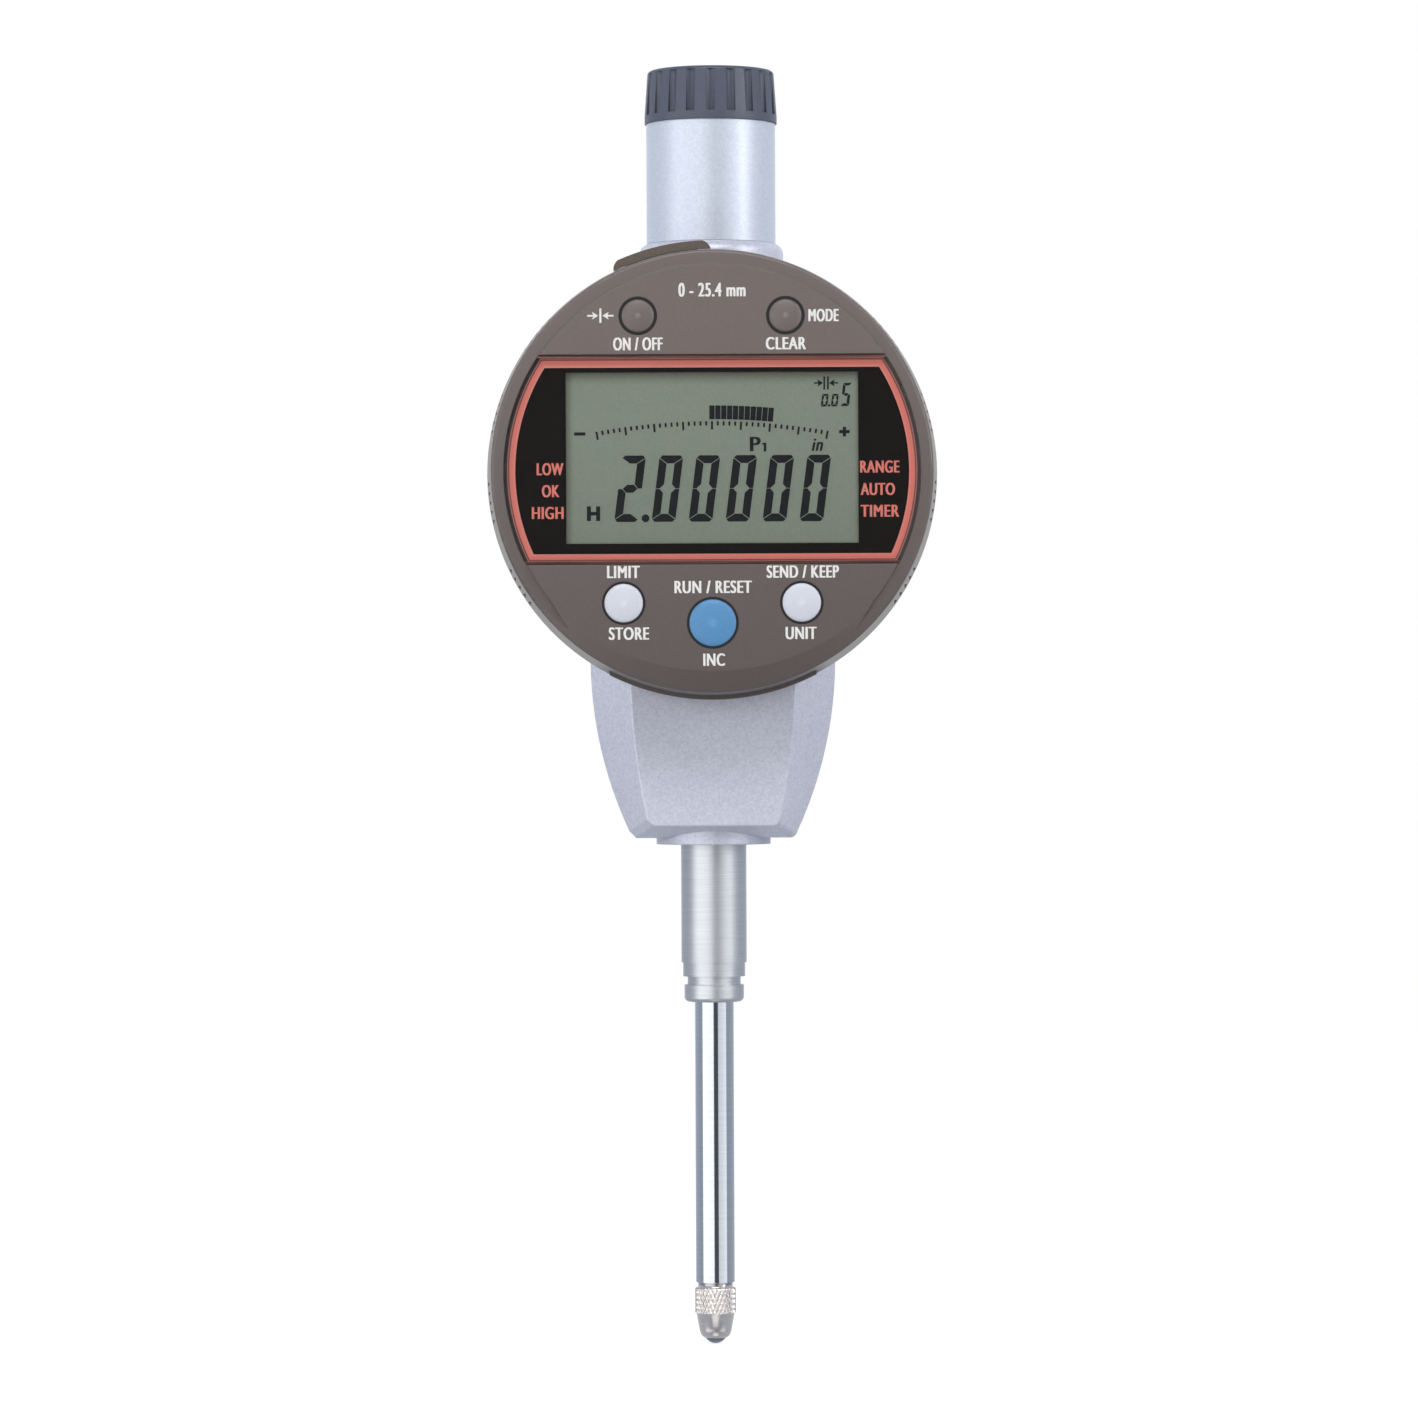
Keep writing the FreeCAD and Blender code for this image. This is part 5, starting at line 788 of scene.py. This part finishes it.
for name, words, u, v, width, height in (
    ("word_on_off", "ON / OFF", -8.77, 15.09, 5.9, 1.5),
    ("word_mode", "MODE", 13.3, 18.42, 3.6, 1.45),
    ("word_clear", "CLEAR", 8.82, 15.1, 4.8, 1.45),
    ("word_limit", "LIMIT", -10.6, -11.99, 3.9, 1.45),
    ("word_store", "STORE", -9.97, -19.31, 4.8, 1.45),
    ("word_run_reset", "RUN / RESET", 0.05, -13.81, 9.2, 1.45),
    ("word_inc", "INC", 0.13, -22.45, 2.6, 1.45),
    ("word_send_keep", "SEND / KEEP", 10.71, -12.03, 8.6, 1.45),
    ("word_unit", "UNIT", 10.48, -19.32, 3.7, 1.45),
    ("word_stroke", "0 - 25.4 mm", 0.06, 21.5, 8.0, 1.6),
):
    lettering(name, words, u, v, width, height, FACE, PRINT, white_ink)

for name, words, u, v, width in (
    ("word_low", "LOW", -19.3, 0.31, 3.2),
    ("word_ok", "OK", -19.24, -2.3, 2.1),
    ("word_high", "HIGH", -19.6, -4.9, 3.8),
    ("word_range", "RANGE", 19.95, 0.46, 4.7),
    ("word_auto", "AUTO", 19.7, -2.2, 4.1),
    ("word_timer", "TIMER", 19.95, -4.8, 4.6),
):
    lettering(name, words, u, v, width, 1.42, FILM_FRONT, PRINT, glowing_red_ink)

lettering("word_preset", "P", 5.14, 3.21, 1.3, 1.7, PANEL_FRONT, SEGMENT, segment_ink, weight=0.09)
lettering("word_inch", "in", 12.61, 3.15, 1.25, 1.55, PANEL_FRONT, SEGMENT, segment_ink, slant=12)
symbol = arrows(-13.21, 18.46, half_width=1.57, reach=0.25, bars=(0,), stroke=0.24, head=0.75)
flat_pieces("face_symbol", symbol, FACE, PRINT, white_ink)

# Panel holder and contact strips. The holder is moulded in black ABS, and the strips are black rubber
# with conductive layers.

black_plastic, tree, shader = start("black_moulded_abs", "#232323", 0.5)
marks(tree, shader, ("#1f1f1f", "#292929"), (0.12, 0.12, 0.12), 0.004)
dress(black_plastic, "lcd_frame", "port_socket")

strip_rubber, tree, shader = start("layered_contact_rubber", "#3a3a3c", 0.6)
marks(tree, shader, ("#242426", "#8a8a88"), (0.15, 8.0, 8.0), 0.002)
dress(strip_rubber, "contact_strips")

# Keys. Round caps with a low dome, moulded in ABS and polished in the mould: two brown, two white and a
# blue one. Their smooth tops catch a soft light along the upper edge.

KEY_EDGE = 0.12            # mm, the rounding of a key's edge
WELD = 0.001 * MM          # joins the corners of neighbouring faces, so that the edges can be rounded

for name, light, dark, keys in (
    ("brown_grey_key_abs", "#665d5a", "#615856", ("power_key", "menu_key")),
    ("cool_white_key_abs", "#c6c7cf", "#bec0c9", ("preset_key", "hold_key")),
    ("sky_blue_key_abs", "#4f84af", "#487eab", ("zero_key",)),
):
    key_plastic, tree, shader = start(name, light, 0.45)
    marks(tree, shader, (dark, light), (0.2, 0.2, 0.2), 0.001)
    dress(key_plastic, *keys)
    for key in keys:
        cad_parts[key].modifiers.new("weld", "WELD").merge_threshold = WELD
        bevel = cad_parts[key].modifiers.new("rounded_edges", "BEVEL")
        bevel.width = KEY_EDGE * MM
        bevel.segments = 2
        bevel.limit_method = "ANGLE"
        bevel.angle_limit = math.radians(30)
        bevel.use_clamp_overlap = False
        bevel.harden_normals = True

# Key shade rings. Black rings fill the round gaps between keys and face, and their lips lie on the face, so
# that each key stands in a dull black ring. They are painted shade: black rubber put where the gaps round
# the keys lie in shadow.

# Painted shade: the sizes below are for the black rings that stand in for the shadow in each key's gap and
# along its edge on the face.
KEY_RIM = 0.5              # mm that a key's flange stands out under the face
SHADE_RING_SLIP = 0.02          # mm between key and skirt
SHADE_RING_DEPTH = 0.65         # mm
DARK_KEY_SHADE_WIDTHS = (0.23, 0.33)  # how wide the skirt is in the gap and at its lip, mm
LIGHT_KEY_SHADE_WIDTHS = (0.13, 0.27)
SHADE_RING_STEPS = 64


def make_key_shade_rings():
    key_shade_black, tree, shader = start("black_rubber_as_painted_key_shade", "#141313", 0.8)
    marks(tree, shader, ("#121111", "#171616"), (0.2, 0.2, 0.2), 0.001)
    for name, (width, lip_width) in (("power_key", DARK_KEY_SHADE_WIDTHS), ("menu_key", DARK_KEY_SHADE_WIDTHS),
                                     ("preset_key", LIGHT_KEY_SHADE_WIDTHS), ("hold_key", LIGHT_KEY_SHADE_WIDTHS),
                                     ("zero_key", LIGHT_KEY_SHADE_WIDTHS)):
        low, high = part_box(name)
        middle = (low + high) / 2
        inside = (high.x - low.x) / 2 / MM - KEY_RIM + SHADE_RING_SLIP
        outside, lip = inside + width, inside + lip_width
        front = -PRINT / MM
        profile = ((inside, SHADE_RING_DEPTH), (inside, front), (lip, front), (lip, 0.0), (outside, 0.0),
                   (outside, SHADE_RING_DEPTH))
        mesh = bmesh.new()
        rings = []
        for i in range(SHADE_RING_STEPS):
            angle = 2 * math.pi * i / SHADE_RING_STEPS
            way = Vector((math.cos(angle), 0, math.sin(angle))) * MM
            rings.append([mesh.verts.new(Vector((middle.x, -FACE + depth * MM, middle.z)) + way * radius)
                          for radius, depth in profile])
        for ring, following in zip(rings, rings[1:] + rings[:1]):
            for j, corner in enumerate(ring):
                k = (j + 1) % len(profile)
                mesh.faces.new((corner, ring[k], following[k], following[j]))
        bmesh.ops.recalc_face_normals(mesh, faces=mesh.faces)
        ring_of_shade = put(name + "_painted_shade", mesh)
        ring_of_shade.data.materials.append(key_shade_black)
        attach(ring_of_shade, "display")


make_key_shade_rings()

# Key pads. Grey silicone rubber, moulded as sheets that lie on the main board, with a carbon pill under
# each key. They are dull and a little cloudy.

silicone, tree, shader = start("grey_silicone_rubber", "#8b8d8f", 0.6)
marks(tree, shader, ("#828486", "#949698"), (0.4, 0.4, 0.4), 0.003)
dress(silicone, "upper_key_pad", "lower_key_pad")

# Coin cell and its springs. The cell is a can of nickel plated steel, pressed shut, and the springs are
# phosphor bronze, soldered to the main board. One shines grey and the others coppery.

cell_steel, tree, shader = start("nickel_plated_cell_can", "#c4c1bb", 0.22, Metallic=1.0)
marks(tree, shader, ("#bab7b1", "#cecbc6"), (3.0, 0.2, 0.2), 0.0008)
dress(cell_steel, "coin_cell")

leaf_bronze, tree, shader = start("rolled_phosphor_bronze", "#c08a5a", 0.3, Metallic=1.0)
marks(tree, shader, ("#b57f50", "#cb9565"), (0.08, 2.0, 2.0), 0.001)
dress(leaf_bronze, "battery_springs")

# Port cover. A soft rubber plug in the casing's brown, moulded, and pressed into the data port. It is darker
# and duller than the casing.

port_rubber, tree, shader = start("olive_brown_rubber", "#574d43", 0.6)
marks(tree, shader, ("#52483f", "#5f554b"), (0.2, 0.2, 0.2), 0.004)
dress(port_rubber, "port_cover")
